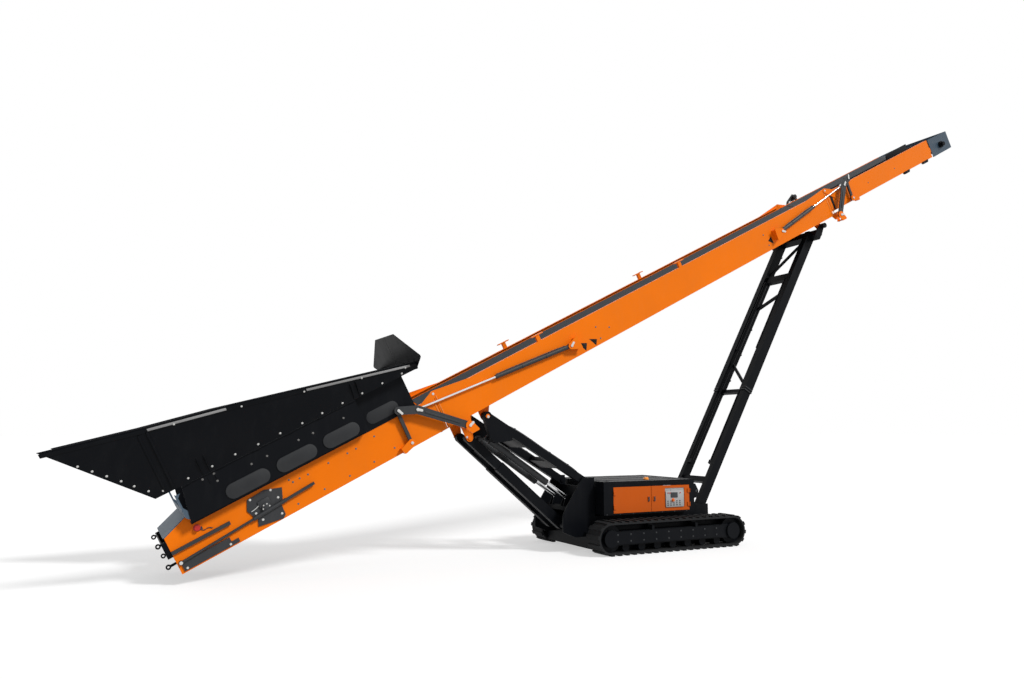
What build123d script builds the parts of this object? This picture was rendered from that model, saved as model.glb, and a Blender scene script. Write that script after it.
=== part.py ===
"""Tracked belt stacker conveyor with a folding tail and head, a feed hopper,
a front lift linkage and telescopic rear legs. Millimetres, +Z up, +X towards the head end,
-Y is the near side. Z = 0 is the ground under the tracks."""
from build123d import *
from math import atan2, ceil, cos, degrees, hypot, pi, radians, sin, tan
import os

os.makedirs("parts", exist_ok=True)

NEAR, FAR = -1, 1
SIDES = (NEAR, FAR)

# Running fits and gaps
PIN_GAP = 0.3
FIT = 0.08
RUN_GAP = 10.0

# Conveyor line: place of the tail's bottom corner, slope, and how far along the joints are
TRACK_X = 432.2
TAIL_X = TRACK_X - 10093.0
TAIL_Z = 198.0
INCLINE = 27.12
TAIL_SEAM_S = 5500.0
HEAD_SEAM_S = 18290.0
HEAD_END_S = 23240.0
GUARD_END_S = 24270.0

# Side plates: outer face, thickness, lips, and bottom and top edge of each section
PLATE_Y = 855.0
PLATE_T = 10.0
LIP_W = 80.0
LIP_INSET = 60.0
TAIL_TOP_T = 694.0
MID_TOP_T = 715.0
HEAD_BOT_T = 118.0
HEAD_TOP_T = 662.0

# Layers outside the side plates
CYLINDER_Y = 925.0
EYE_W = 50.0
LINK_Y = 985.0
LINK_T = 30.0
CHEEK_T = 16.0
HINGE_LUG_GAP = 6.0
HINGE_LUG_T = 10.0

# Belt and drums
BELT_T = 18.0
BELT_FLAT = 240.0
BELT_WING = 360.0
TROUGH_ANGLE = 25.0
DRUM_R = 165.0
DRUM_T = 345.0
DRUM_LEN = 1240.0
TAIL_DRUM_S = 330.0
HEAD_DRUM_S = 23800.0
TRANSITION = 900.0
SHAFT_R = 40.0
BELT_SEAM_GAP = 40.0

# Idlers
IDLER_R = 54.0
IDLER_PITCH = 1280.0
IDLER_BAR = 60.0
RETURN_R = 45.0

# Crawler tracks
TRACK_LEN = 4080.0
TRACK_H = 720.0
TRACK_OUT_Y = 1500.0
TRACK_W = 480.0
SHOE_H = 30.0
SHOE_BASE = 36.0
SHOE_PITCH = 190.0
SHOE_GAP = 0.42
ROLLER_R = 90.0
ROLLER_COUNT = 7
ROLLER_PITCH = 420.0
# Side panel of the track frame: ends, and its bottom and top height
SIDE_PANEL = (TRACK_X - 1700.0, TRACK_X + 1370.0, 240.0, 500.0)

# Base frame and power enclosure
FRAME_Y = 620.0
FRAME_T = 40.0
FRAME_BOT_Z = 330.0
FRAME_TOP_Z = 760.0
BOX_X0 = TRACK_X - 1560.0
BOX_X1 = TRACK_X + 950.0
BOX_Y = 1000.0
BOX_Z0 = 800.0
BOX_Z1 = 1530.0
BOX_WALL = 40.0
DOOR_X0 = TRACK_X - 1310.0
DOOR_XM = TRACK_X - 280.0
DOOR_X1 = TRACK_X + 810.0
DOOR_Z0 = 830.0
DOOR_Z1 = 1410.0
DOOR_GAP = 12.0

# Lift linkage pins, beside the base: x from the tracks' centre and height
UPPER_FOOT = (TRACK_X - 1750.0, 1500.0)
LOWER_FOOT = (TRACK_X - 2230.0, 590.0)
LIFT_BASE = (TRACK_X - 2050.0, 1150.0)
LIFT_HEAD = (TRACK_X - 4040.0, 2480.0)
ARM_Y = 540.0
ARM_W = 130.0
LOWER_Y = 230.0
LOWER_W = 130.0
LOWER_HALF = 112.0
LOWER_SPLIT = 2000.0
LOWER_LAP = 500.0
LOWER_IN_W = 104.0
LOWER_IN_HALF = 96.0
BOX_TUBE_WALL = 10.0
MOUTH_LEN = 120.0
LIFT_Y = 250.0
LIFT_PIN_R = 45.0
CYLINDER_PIN_R = 35.0

# Rear legs
LEG_FOOT = (TRACK_X + 1458.0, 780.0)
LEG_Y = 500.0
LEG_W = 160.0
LEG_D = 250.0
LEG_SPLIT = 3300.0
LEG_LAP = 700.0
LEG_HOLLOW_END = 6200.0
INNER_W = 132.0
INNER_D = 222.0
LEG_EYE_R = 125.0

# Hopper
SKIRT_T = 10.0
SKIRT_TOP_T = 1380.0
SKIRT_Y = 1080.0
INNER_SKIRT_T = 8.0
SKIRT_BOT_T = 745.0
SKIRT_S0 = 480.0
SKIRT_RAKE = 120.0
SKIRT_STEP_S = 3950.0
SKIRT_S1 = 5060.0
FLARE = 24.0
FLAP_FOOT_S = 157.0
FLAP_FOOT_RISE = 22.0
# Flap rim from the upper end to the tail end, s and t
FLAP_RIM = ((5360.0, 1540.0), (1840.0, 2320.0), (460.0, 2580.0), (-1020.0, 2900.0))
END_PLATE_S = 5360.0
# Half of the wall at the hopper's upper end, y and t
END_PLATE = ((4.0, 1420.0), (1100.0, 1420.0), (1500.0, 1600.0), (1500.0, 1640.0), (600.0, 2190.0), (4.0, 2190.0))

SLOPE = radians(INCLINE)


def ground(s, t):
    """The x and z of a point given along (s) and square to (t) the conveyor line."""
    return (TAIL_X + s * cos(SLOPE) - t * sin(SLOPE), TAIL_Z + s * sin(SLOPE) + t * cos(SLOPE))


def along(x, z):
    """The s and t of a point given by its x and z."""
    dx, dz = x - TAIL_X, z - TAIL_Z
    return (dx * cos(SLOPE) + dz * sin(SLOPE), dz * cos(SLOPE) - dx * sin(SLOPE))


def belt_side(y):
    """Upright plane along the conveyor at a given y: sketch x is s, sketch y is t, extruding goes to -Y."""
    return Plane(origin=(TAIL_X, y, TAIL_Z), x_dir=(cos(SLOPE), 0, sin(SLOPE)), z_dir=(0, -1, 0))


def level_side(y):
    """Upright plane at a given y: sketch x and y are x and z, extruding goes to -Y."""
    return Plane(origin=(0, y, 0), x_dir=(1, 0, 0), z_dir=(0, -1, 0))


def line_side(foot, head):
    """Upright planes along a line between two points in x and z: sketch x is the distance from the foot."""
    angle = atan2(head[1] - foot[1], head[0] - foot[0])
    return lambda y: Plane(origin=(foot[0], y, foot[1]), x_dir=(cos(angle), 0, sin(angle)), z_dir=(0, -1, 0))


def belt_cross(s):
    """Plane square to the conveyor at s: sketch x is y, sketch y is t, extruding goes to the head."""
    x, z = ground(s, 0)
    return Plane(origin=(x, 0, z), x_dir=(0, 1, 0), z_dir=(cos(SLOPE), 0, sin(SLOPE)))


def y_band(side, inner, outer):
    """The low and high y of a layer between two distances from the middle, on one side."""
    return (inner, outer) if side == FAR else (-outer, -inner)


def slab(plane_at, points, y_low, y_high, mode=Mode.ADD):
    """A flat piece with a straight-sided outline between two y values."""
    with BuildSketch(plane_at(y_high)) as face:
        with BuildLine():
            Polyline(*points, close=True)
        make_face()
    extrude(face.sketch, amount=y_high - y_low, mode=mode)


def block(plane_at, a0, a1, b0, b1, y_low, y_high, mode=Mode.ADD):
    """A rectangular piece between two y values."""
    slab(plane_at, [(a0, b0), (a1, b0), (a1, b1), (a0, b1)], y_low, y_high, mode)


def disc(plane_at, centre, radius, y_low, y_high, mode=Mode.ADD):
    """A round piece, pin or hole along Y between two y values."""
    with BuildSketch(plane_at(y_high)) as face:
        with Locations(centre):
            Circle(radius)
    extrude(face.sketch, amount=y_high - y_low, mode=mode)


def round_bar(plane_at, y, offset, start, end, radius, mode=Mode.ADD):
    """A round bar or bore along a side plane's x, at an offset square to it, between two distances."""
    side = plane_at(y)
    origin = side.origin + side.x_dir * start + side.y_dir * offset
    with BuildSketch(Plane(origin=origin, x_dir=(0, 1, 0), z_dir=side.x_dir)) as face:
        Circle(radius)
    extrude(face.sketch, amount=end - start, mode=mode)


def lug(plane_at, centre, radius, root, y_low, y_high):
    """A rounded lug: a disc joined by its tangents to the root points."""
    with BuildSketch(plane_at(y_high)) as face:
        with Locations(centre):
            Circle(radius)
        for point in root:
            with Locations(point):
                Circle(radius * 0.25)
        make_hull()
    extrude(face.sketch, amount=y_high - y_low)


def turned(centre, angle, point):
    """A point given along and square to a bar, put in the bar's side plane."""
    a = radians(angle)
    return (centre[0] + point[0] * cos(a) - point[1] * sin(a), centre[1] + point[0] * sin(a) + point[1] * cos(a))


def bar_points(start, end, half, before=0.0, after=0.0):
    """The outline of a straight bar from start to end, lengthened past each."""
    angle = degrees(atan2(end[1] - start[1], end[0] - start[0]))
    length = hypot(end[0] - start[0], end[1] - start[1])
    corners = [(-before, -half), (length + after, -half), (length + after, half), (-before, half)]
    return [turned(start, angle, corner) for corner in corners]


def finish(builder, label):
    """Name a piece and write it."""
    builder.part.label = label
    export_step(builder.part, f"parts/{label}.step")


# Crawler tracks: one closed loop each, its shoes in its outline

def track_path(distance):
    """A point of the shoe base line and its outward angle, by distance round the loop."""
    straight = TRACK_LEN - TRACK_H
    radius = TRACK_H / 2 - SHOE_H
    arc = pi * radius
    distance = distance % (2 * straight + 2 * arc)
    if distance < straight:
        return (-straight / 2 + distance, radius), 90.0
    distance -= straight
    if distance < arc:
        turn = 90.0 - degrees(distance / radius)
        return (straight / 2 + radius * cos(radians(turn)), radius * sin(radians(turn))), turn
    distance -= arc
    if distance < straight:
        return (straight / 2 - distance, -radius), -90.0
    distance -= straight
    turn = -90.0 - degrees(distance / radius)
    return (-straight / 2 + radius * cos(radians(turn)), radius * sin(radians(turn))), turn


def track_loop(side):
    """One track: a ring with a grouser on each shoe."""
    y_low, y_high = y_band(side, TRACK_OUT_Y - TRACK_W, TRACK_OUT_Y)
    straight = TRACK_LEN - TRACK_H
    radius = TRACK_H / 2 - SHOE_H
    loop_length = 2 * straight + 2 * pi * radius
    count = round(loop_length / SHOE_PITCH)
    pitch = loop_length / count
    with BuildPart() as loop:
        with BuildSketch(level_side(y_high)) as face:
            centre = Location((TRACK_X, TRACK_H / 2))
            with Locations(centre):
                SlotCenterToCenter(straight, 2 * radius)
            for shoe in range(count):
                (x, z), turn = track_path((shoe + 0.5) * pitch)
                with Locations(Location((TRACK_X + x, TRACK_H / 2 + z), turn)):
                    Rectangle(2 * SHOE_H, pitch * SHOE_GAP)
            with Locations(centre):
                SlotCenterToCenter(straight, 2 * (radius - SHOE_BASE), mode=Mode.SUBTRACT)
            with Locations((TRACK_X, -SHOE_H)):
                Rectangle(TRACK_LEN, 2 * SHOE_H, mode=Mode.SUBTRACT)
        extrude(face.sketch, amount=y_high - y_low)
    return loop


for side, name in ((NEAR, "track_near"), (FAR, "track_far")):
    finish(track_loop(side), name)

# Track frames: side beam, idler, sprocket, rollers and return rollers inside each loop
LOOP_IN_R = TRACK_H / 2 - SHOE_H - SHOE_BASE
WHEEL_R = LOOP_IN_R - PIN_GAP
WHEEL_X = (TRACK_LEN - TRACK_H) / 2
MID_Z = TRACK_H / 2
LOW_ROLLER_Z = SHOE_H + SHOE_BASE + PIN_GAP + ROLLER_R
HIGH_ROLLER_R = 60.0
HIGH_ROLLER_Z = TRACK_H - SHOE_H - SHOE_BASE - PIN_GAP - HIGH_ROLLER_R
BEAM_INSET = 60.0
BEAM_HALF = 150.0
COVER_INSET = 20.0
HUB_SHARE = 0.62
HIGH_ROLLER_X = 600.0

with BuildPart() as track_frames:
    for side in SIDES:
        beam = y_band(side, TRACK_OUT_Y - TRACK_W + BEAM_INSET, TRACK_OUT_Y - BEAM_INSET)
        cover = y_band(side, TRACK_OUT_Y - TRACK_W + COVER_INSET, TRACK_OUT_Y - COVER_INSET)
        rollers = y_band(side, TRACK_OUT_Y - TRACK_W + 2 * BEAM_INSET, TRACK_OUT_Y - 2 * BEAM_INSET)
        block(level_side, TRACK_X - WHEEL_X, TRACK_X + WHEEL_X, MID_Z - BEAM_HALF, MID_Z + BEAM_HALF, *beam)
        block(level_side, *SIDE_PANEL, *y_band(side, TRACK_OUT_Y - BEAM_INSET, TRACK_OUT_Y - COVER_INSET))
        for end in (-1, 1):
            disc(level_side, (TRACK_X + end * WHEEL_X, MID_Z), WHEEL_R, *rollers)
            disc(level_side, (TRACK_X + end * WHEEL_X, MID_Z), HUB_SHARE * WHEEL_R, *cover)
        for index in range(ROLLER_COUNT):
            x = TRACK_X + (index - (ROLLER_COUNT - 1) / 2) * ROLLER_PITCH
            disc(level_side, (x, LOW_ROLLER_Z), ROLLER_R, *rollers)
        for x in (TRACK_X - HIGH_ROLLER_X, TRACK_X + HIGH_ROLLER_X):
            disc(level_side, (x, HIGH_ROLLER_Z), HIGH_ROLLER_R, *rollers)
            block(level_side, x - 30, x + 30, MID_Z, HIGH_ROLLER_Z, *cover)
finish(track_frames, "track_frames")

# Base frame: two long plates, cross boxes to the tracks, front towers and rear leg lugs
NOSE_X = TRACK_X - 2400.0
TOWER_OUT = FRAME_Y + FRAME_T
REAR_X = TRACK_X + 1640.0
FOOT_PIN_R = 45.0
PIN_REACH = 20.0
ARM_SIDE_GAP = 6.0
LOWER_BOSS_R = 80.0
TRACK_BEAM_X = 850.0
TRACK_BEAM_HALF = (160.0, 130.0)
# Cross members between the frame plates: x ends and heights
FRAME_CROSS = ((TRACK_X - 1860, TRACK_X - 1760, 90, 430),
               (TRACK_X - 1700, TRACK_X - 1450, FRAME_BOT_Z + 40, FRAME_TOP_Z - 40),
               (TRACK_X - 1000, TRACK_X - 700, FRAME_BOT_Z, FRAME_TOP_Z - 100),
               (TRACK_X + 700, TRACK_X + 1000, FRAME_BOT_Z, FRAME_TOP_Z - 100),
               (TRACK_X - 1720, TRACK_X - 1600, UPPER_FOOT[1] - 400, UPPER_FOOT[1] - 100),
               (TRACK_X - 2150, TRACK_X - 1600, 880, 1000))
FRONT_PLATE_Y = 1005.0
LIFT_CHEEK_T = 15.0
LIFT_EYE_HALF = 38.0
LIFT_EYE_R = 68.0

with BuildPart() as base_frame:
    for side in SIDES:
        band = y_band(side, FRAME_Y, TOWER_OUT)
        slab(level_side, [(NOSE_X, 450), (TRACK_X - 2100, FRAME_BOT_Z), (REAR_X - 250, FRAME_BOT_Z),
                          (REAR_X, FRAME_TOP_Z - 150), (REAR_X, FRAME_TOP_Z + 150), (TRACK_X + 1250, FRAME_TOP_Z + 150),
                          (TRACK_X + 1150, FRAME_TOP_Z), (TRACK_X - 1570, FRAME_TOP_Z),
                          (TRACK_X - 1590, UPPER_FOOT[1] + 110), (TRACK_X - 1900, UPPER_FOOT[1] + 110),
                          (TRACK_X - 2330, 950), (NOSE_X, 800)], *band)
        disc(level_side, LOWER_FOOT, FOOT_PIN_R, *y_band(side, LOWER_Y - LOWER_W / 2 - PIN_REACH, FRAME_Y))
        disc(level_side, LOWER_FOOT, LOWER_BOSS_R, *y_band(side, LOWER_Y + LOWER_W / 2 + ARM_SIDE_GAP, FRAME_Y))
        disc(level_side, UPPER_FOOT, FOOT_PIN_R, *y_band(side, ARM_Y - ARM_W / 2 - PIN_REACH, FRAME_Y))
        disc(level_side, LEG_FOOT, FOOT_PIN_R, *y_band(side, LEG_Y - INNER_W / 2 - PIN_REACH, FRAME_Y))
        reach = y_band(side, TOWER_OUT, TRACK_OUT_Y - TRACK_W + BEAM_INSET)
        for x in (TRACK_X - TRACK_BEAM_X, TRACK_X + TRACK_BEAM_X):
            block(level_side, x - TRACK_BEAM_HALF[0], x + TRACK_BEAM_HALF[0], MID_Z - TRACK_BEAM_HALF[1],
                  MID_Z + TRACK_BEAM_HALF[1], *reach)
        block(level_side, *FRAME_CROSS[0], *y_band(side, FRAME_Y, FRONT_PLATE_Y))
    for x0, x1, z0, z1 in FRAME_CROSS:
        block(level_side, x0, x1, z0, z1, -FRAME_Y, FRAME_Y)
    for side in SIDES:
        for inner in (LIFT_Y - LIFT_EYE_HALF - 7 - LIFT_CHEEK_T, LIFT_Y + LIFT_EYE_HALF + 7):
            lug(level_side, LIFT_BASE, 75, [(LIFT_BASE[0] - 120, 990), (LIFT_BASE[0] + 150, 990)],
                *y_band(side, inner, inner + LIFT_CHEEK_T))
        disc(level_side, LIFT_BASE, CYLINDER_PIN_R, *y_band(side, LIFT_Y - LIFT_EYE_HALF - 22, LIFT_Y + LIFT_EYE_HALF + 22))
finish(base_frame, "base_frame")

# Power enclosure: hollow box with door openings on both long sides and a vent at the rear
VENT_Y = 480.0
VENT_Z0 = 930.0
VENT_Z1 = 1400.0
FLOOR_T = 40.0

with BuildPart() as power_enclosure:
    block(level_side, BOX_X0, BOX_X1, BOX_Z0, BOX_Z1, -BOX_Y, BOX_Y)
    block(level_side, BOX_X0 + BOX_WALL, BOX_X1 - BOX_WALL, BOX_Z0 + FLOOR_T, BOX_Z1 - BOX_WALL,
          -BOX_Y + BOX_WALL, BOX_Y - BOX_WALL, mode=Mode.SUBTRACT)
    for side in SIDES:
        block(level_side, DOOR_X0, DOOR_X1, DOOR_Z0, DOOR_Z1, *y_band(side, BOX_Y - BOX_WALL, BOX_Y),
              mode=Mode.SUBTRACT)
    block(level_side, BOX_X1 - BOX_WALL, BOX_X1, VENT_Z0, VENT_Z1, -VENT_Y, VENT_Y, mode=Mode.SUBTRACT)
    for side in SIDES:
        block(level_side, BOX_X0 + 200, BOX_X1 - 200, FRAME_TOP_Z, BOX_Z0, *y_band(side, FRAME_Y - 80, FRAME_Y + 60))
finish(power_enclosure, "power_enclosure")

with BuildPart() as vent_grille:
    block(level_side, BOX_X1 - BOX_WALL + 4, BOX_X1 - 4, VENT_Z0 + PIN_GAP, VENT_Z1 - PIN_GAP, -VENT_Y + PIN_GAP,
          VENT_Y - PIN_GAP)
    block(level_side, BOX_X1 - BOX_WALL + 4, BOX_X1 - 4, VENT_Z0 + 25, VENT_Z1 - 25, -VENT_Y + 25, VENT_Y - 25,
          mode=Mode.SUBTRACT)
    SLATS = 9
    for index in range(SLATS):
        z = VENT_Z0 + 25 + (index + 0.5) * (VENT_Z1 - VENT_Z0 - 50) / SLATS
        slab(level_side, [(BOX_X1 - BOX_WALL + 6, z + 4), (BOX_X1 - 6, z - 16), (BOX_X1 - 6, z - 10),
                          (BOX_X1 - BOX_WALL + 6, z + 10)], -VENT_Y + 20, VENT_Y - 20)
finish(vent_grille, "vent_grille")

with BuildPart() as engine_block:
    block(level_side, TRACK_X - 900, TRACK_X + 300, BOX_Z0 + FLOOR_T, BOX_Z1 - BOX_WALL - 90, -380, 380)
finish(engine_block, "engine_block")

# Doors: one panel each, with a latch plate by the middle seam
DOOR_ROWS = (("door_near_front", NEAR, DOOR_X0, DOOR_XM, 1), ("door_near_rear", NEAR, DOOR_XM, DOOR_X1, -1),
             ("door_far_front", FAR, DOOR_X0, DOOR_XM, 1), ("door_far_rear", FAR, DOOR_XM, DOOR_X1, -1))
PANEL_X0, PANEL_X1 = TRACK_X + 110.0, TRACK_X + 660.0
PANEL_Z0, PANEL_Z1 = 925.0, 1345.0
LATCH_Z = 1130.0

DOOR_PIN_R = 12.0
DOOR_PIN_OUT = 18.0
# Heights of a door's two hinges, from and to
DOOR_HINGES = ((DOOR_Z0 + 90, DOOR_Z0 + 180), (DOOR_Z1 - 180, DOOR_Z1 - 90))

for name, side, x0, x1, latch_end in DOOR_ROWS:
    with BuildPart() as door:
        skin = y_band(side, BOX_Y - BOX_WALL, BOX_Y)
        block(level_side, x0 + DOOR_GAP / 2, x1 - DOOR_GAP / 2, DOOR_Z0 + DOOR_GAP / 2, DOOR_Z1 - DOOR_GAP / 2, *skin)
        latch_x = (x1 - 75) if latch_end > 0 else (x0 + 75)
        block(level_side, latch_x - 30, latch_x + 30, LATCH_Z - 45, LATCH_Z + 45, *y_band(side, BOX_Y, BOX_Y + 12))
        hinge_x = (x0 + DOOR_GAP / 2) if latch_end > 0 else (x1 - DOOR_GAP / 2)
        for low, high in DOOR_HINGES:
            block(level_side, min(hinge_x, hinge_x + latch_end * 60), max(hinge_x, hinge_x + latch_end * 60), low, high,
                  *y_band(side, BOX_Y, BOX_Y + DOOR_PIN_OUT))
            with BuildSketch(Plane.XY.offset(low)) as barrel:
                with Locations((hinge_x, side * (BOX_Y + DOOR_PIN_OUT))):
                    Circle(DOOR_PIN_R)
            extrude(barrel.sketch, amount=high - low)
        if name == "door_near_rear":
            block(level_side, PANEL_X0, PANEL_X1, PANEL_Z0, PANEL_Z1, *skin, mode=Mode.SUBTRACT)
    finish(door, name)

with BuildPart() as control_panel:
    block(level_side, PANEL_X0 + PIN_GAP, PANEL_X1 - PIN_GAP, PANEL_Z0 + PIN_GAP, PANEL_Z1 - PIN_GAP,
          -BOX_Y + 14, -BOX_Y + BOX_WALL)
    block(level_side, TRACK_X + 280, TRACK_X + 440, 1180, 1320, -BOX_Y + 4, -BOX_Y + 14)
    disc(level_side, (TRACK_X + 330, 1110), 24, -BOX_Y - 16, -BOX_Y + 14)
finish(control_panel, "control_panel")

BEACON = (TRACK_X - 140.0, -620.0)
with BuildPart() as beacon:
    with BuildSketch(Plane.XY.offset(BOX_Z1)):
        with Locations(BEACON):
            Circle(66)
    extrude(amount=12)
    with BuildSketch(Plane.XY.offset(BOX_Z1 + 12)):
        with Locations(BEACON):
            Circle(60)
    extrude(amount=40, taper=14)
    fillet(beacon.faces().sort_by(Axis.Z)[-1].edges(), 14)
finish(beacon, "beacon")

# Conveyor pins, in s and t
TAIL_HINGE = (TAIL_SEAM_S + 6.0, 766.0)
HEAD_HINGE = (HEAD_SEAM_S + 5.0, 736.0)
ARM_BOSS = along(TRACK_X - 4200.0, 2960.0)
ARM_UNDER = along(TRACK_X - 4482.0, 2500.0)
LEG_HEAD = (HEAD_SEAM_S - 565.0, -95.0)

# Fold linkages: link foot on the mid section, rod pin, link head, strut foot, cylinder anchor
TAIL_LINK = {"foot": (TAIL_SEAM_S + 390.0, -137.0), "rod": (TAIL_SEAM_S - 475.0, 648.0),
             "head": (TAIL_SEAM_S - 840.0, 805.0), "strut": (TAIL_SEAM_S - 850.0, 108.0),
             "anchor": (TAIL_SEAM_S + 3360.0, 304.0), "barrel": 1960.0}
HEAD_LINK = {"foot": (HEAD_SEAM_S + 70.0, -40.0), "rod": (HEAD_SEAM_S + 640.0, 648.0),
             "head": (HEAD_SEAM_S + 890.0, 756.0), "strut": (HEAD_SEAM_S + 860.0, 196.0),
             "anchor": (HEAD_SEAM_S - 2184.0, 324.0), "barrel": 1495.0}
LINK_PIN_R = 35.0
LINK_END_R = 85.0
BARREL_R = 47.0
ROD_R = 22.0
ROD_EYE_R = 55.0
ROD_LAP = 80.0


def section_side(side, outline, bottom, top):
    """One side plate of a section with a lip at its top and bottom edge."""
    band = y_band(side, PLATE_Y - PLATE_T, PLATE_Y)
    slab(belt_side, outline, *band)
    lips = y_band(side, PLATE_Y - LIP_W, PLATE_Y - PLATE_T)
    s0 = min(point[0] for point in outline if abs(point[1] - top) < 1)
    s1 = max(point[0] for point in outline if abs(point[1] - top) < 1)
    block(belt_side, s0 + LIP_INSET, s1 - LIP_INSET, top - PLATE_T, top, *lips)
    s0 = min(point[0] for point in outline if abs(point[1] - bottom) < 1)
    s1 = max(point[0] for point in outline if abs(point[1] - bottom) < 1)
    block(belt_side, s0, s1, bottom, bottom + PLATE_T, *lips)


CHEEK_Y0 = LINK_Y + LINK_T + 8.0
STRUT_CHEEK_Y0 = CYLINDER_Y + EYE_W / 2 + 8.0
LUG_Y0 = PLATE_Y + HINGE_LUG_GAP
HINGE_LUG_R = 62.0
HINGE_PIN_R = 30.0


def link_foot_plate(side, link):
    """The part of the mid section's side plate that reaches down to a fold link's foot."""
    foot = link["foot"]
    band = y_band(side, PLATE_Y - PLATE_T, PLATE_Y)
    lug(belt_side, foot, 95, [(foot[0] - 140, 30), (foot[0] + 140, 30)], *band)
    lug(belt_side, (foot[0] + 60, foot[1] - 145), 40, [(foot[0] + 140, 0), (foot[0] - 10, foot[1] - 145)], *band)


def link_foot_lug(side, link):
    """The outer cheek that holds a fold link's foot, with its floor and pin."""
    foot = link["foot"]
    lug(belt_side, foot, 95, [(foot[0] - 10, foot[1] - 145), (foot[0] + 130, foot[1] - 145)],
        *y_band(side, CHEEK_Y0, CHEEK_Y0 + CHEEK_T))
    block(belt_side, foot[0] + 10, foot[0] + 110, foot[1] - 165, foot[1] - 140,
          *y_band(side, PLATE_Y, CHEEK_Y0 + CHEEK_T))
    disc(belt_side, foot, LINK_PIN_R, *y_band(side, PLATE_Y, CHEEK_Y0 + CHEEK_T + 12))


def strut_lug(side, link, back):
    """The lug on a folding section that holds the strut's foot, with its pin and web."""
    foot = link["strut"]
    cheek = y_band(side, STRUT_CHEEK_Y0, STRUT_CHEEK_Y0 + CHEEK_T)
    root = [(foot[0] + back * 230, foot[1] - 20), (foot[0] + back * 200, foot[1] - 110)]
    lug(belt_side, foot, 80, root, *cheek)
    slab(belt_side, [(foot[0] + back * 180, foot[1]), (foot[0] + back * 240, foot[1]),
                     (foot[0] + back * 215, foot[1] - 125), (foot[0] + back * 150, foot[1] - 125)],
         *y_band(side, PLATE_Y, STRUT_CHEEK_Y0 + CHEEK_T))
    disc(belt_side, foot, LINK_PIN_R, *y_band(side, PLATE_Y, STRUT_CHEEK_Y0 + CHEEK_T + 10))


def anchor_lug(side, link, away):
    """The bracket on the mid section that holds a fold cylinder's barrel, with its pin."""
    pin = link["anchor"]
    cheek_y = CYLINDER_Y + BARREL_R + 8
    cheek = y_band(side, cheek_y, cheek_y + CHEEK_T)
    lug(belt_side, pin, 75, [(pin[0] + away * 210, pin[1] + 130), (pin[0] + away * 230, pin[1] - 150)], *cheek)
    slab(belt_side, [(pin[0] + away * 165, pin[1] + 120), (pin[0] + away * 215, pin[1] + 120),
                     (pin[0] + away * 235, pin[1] - 140), (pin[0] + away * 185, pin[1] - 140)],
         *y_band(side, PLATE_Y, cheek_y + CHEEK_T))
    disc(belt_side, pin, LINK_PIN_R, *y_band(side, PLATE_Y, cheek_y + CHEEK_T + 10))


# Side plates of the three sections
TAIL_END_S = TAIL_SEAM_S - RUN_GAP / 2
MID_START_S = TAIL_SEAM_S + RUN_GAP / 2
MID_END_S = HEAD_SEAM_S - RUN_GAP / 2
HEAD_START_S = HEAD_SEAM_S + RUN_GAP / 2
HINGE_RAMP = 900.0
CROSS_T = 60.0
HOOD_TOP = (450.0, 860.0)
BOSS_LUG_Y = 430.0
BOSS_LUG_T = 20.0
LEG_LUG_Y = 690.0
LEG_PIN_END_Y = 780.0

with BuildPart() as tail_sides:
    for side in SIDES:
        section_side(side, [(0, 0), (TAIL_END_S, 0), (TAIL_END_S, TAIL_TOP_T), (0, TAIL_TOP_T)], 0, TAIL_TOP_T)
        slab(belt_side, [(0, TAIL_TOP_T), HOOD_TOP, (HOOD_TOP[0] + 60, TAIL_TOP_T)],
             *y_band(side, PLATE_Y - PLATE_T, PLATE_Y))
        lug(belt_side, TAIL_HINGE, HINGE_LUG_R, [(TAIL_HINGE[0] - 420, TAIL_TOP_T - 60),
                                                 (TAIL_HINGE[0] - 300, TAIL_TOP_T - 230)],
            *y_band(side, LUG_Y0, LUG_Y0 + HINGE_LUG_T))
        slab(belt_side, [(TAIL_HINGE[0] - 420, TAIL_TOP_T - 100), (TAIL_HINGE[0] - 300, TAIL_TOP_T - 240),
                         (TAIL_HINGE[0] - 150, TAIL_TOP_T - 140), (TAIL_HINGE[0] - 150, TAIL_TOP_T - 30),
                         (TAIL_HINGE[0] - 400, TAIL_TOP_T - 30)], *y_band(side, PLATE_Y, LUG_Y0))
        disc(belt_side, TAIL_HINGE, HINGE_PIN_R, *y_band(side, PLATE_Y - PLATE_T - 6, LUG_Y0))
        strut_lug(side, TAIL_LINK, -1)
finish(tail_sides, "tail_sides")

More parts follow.
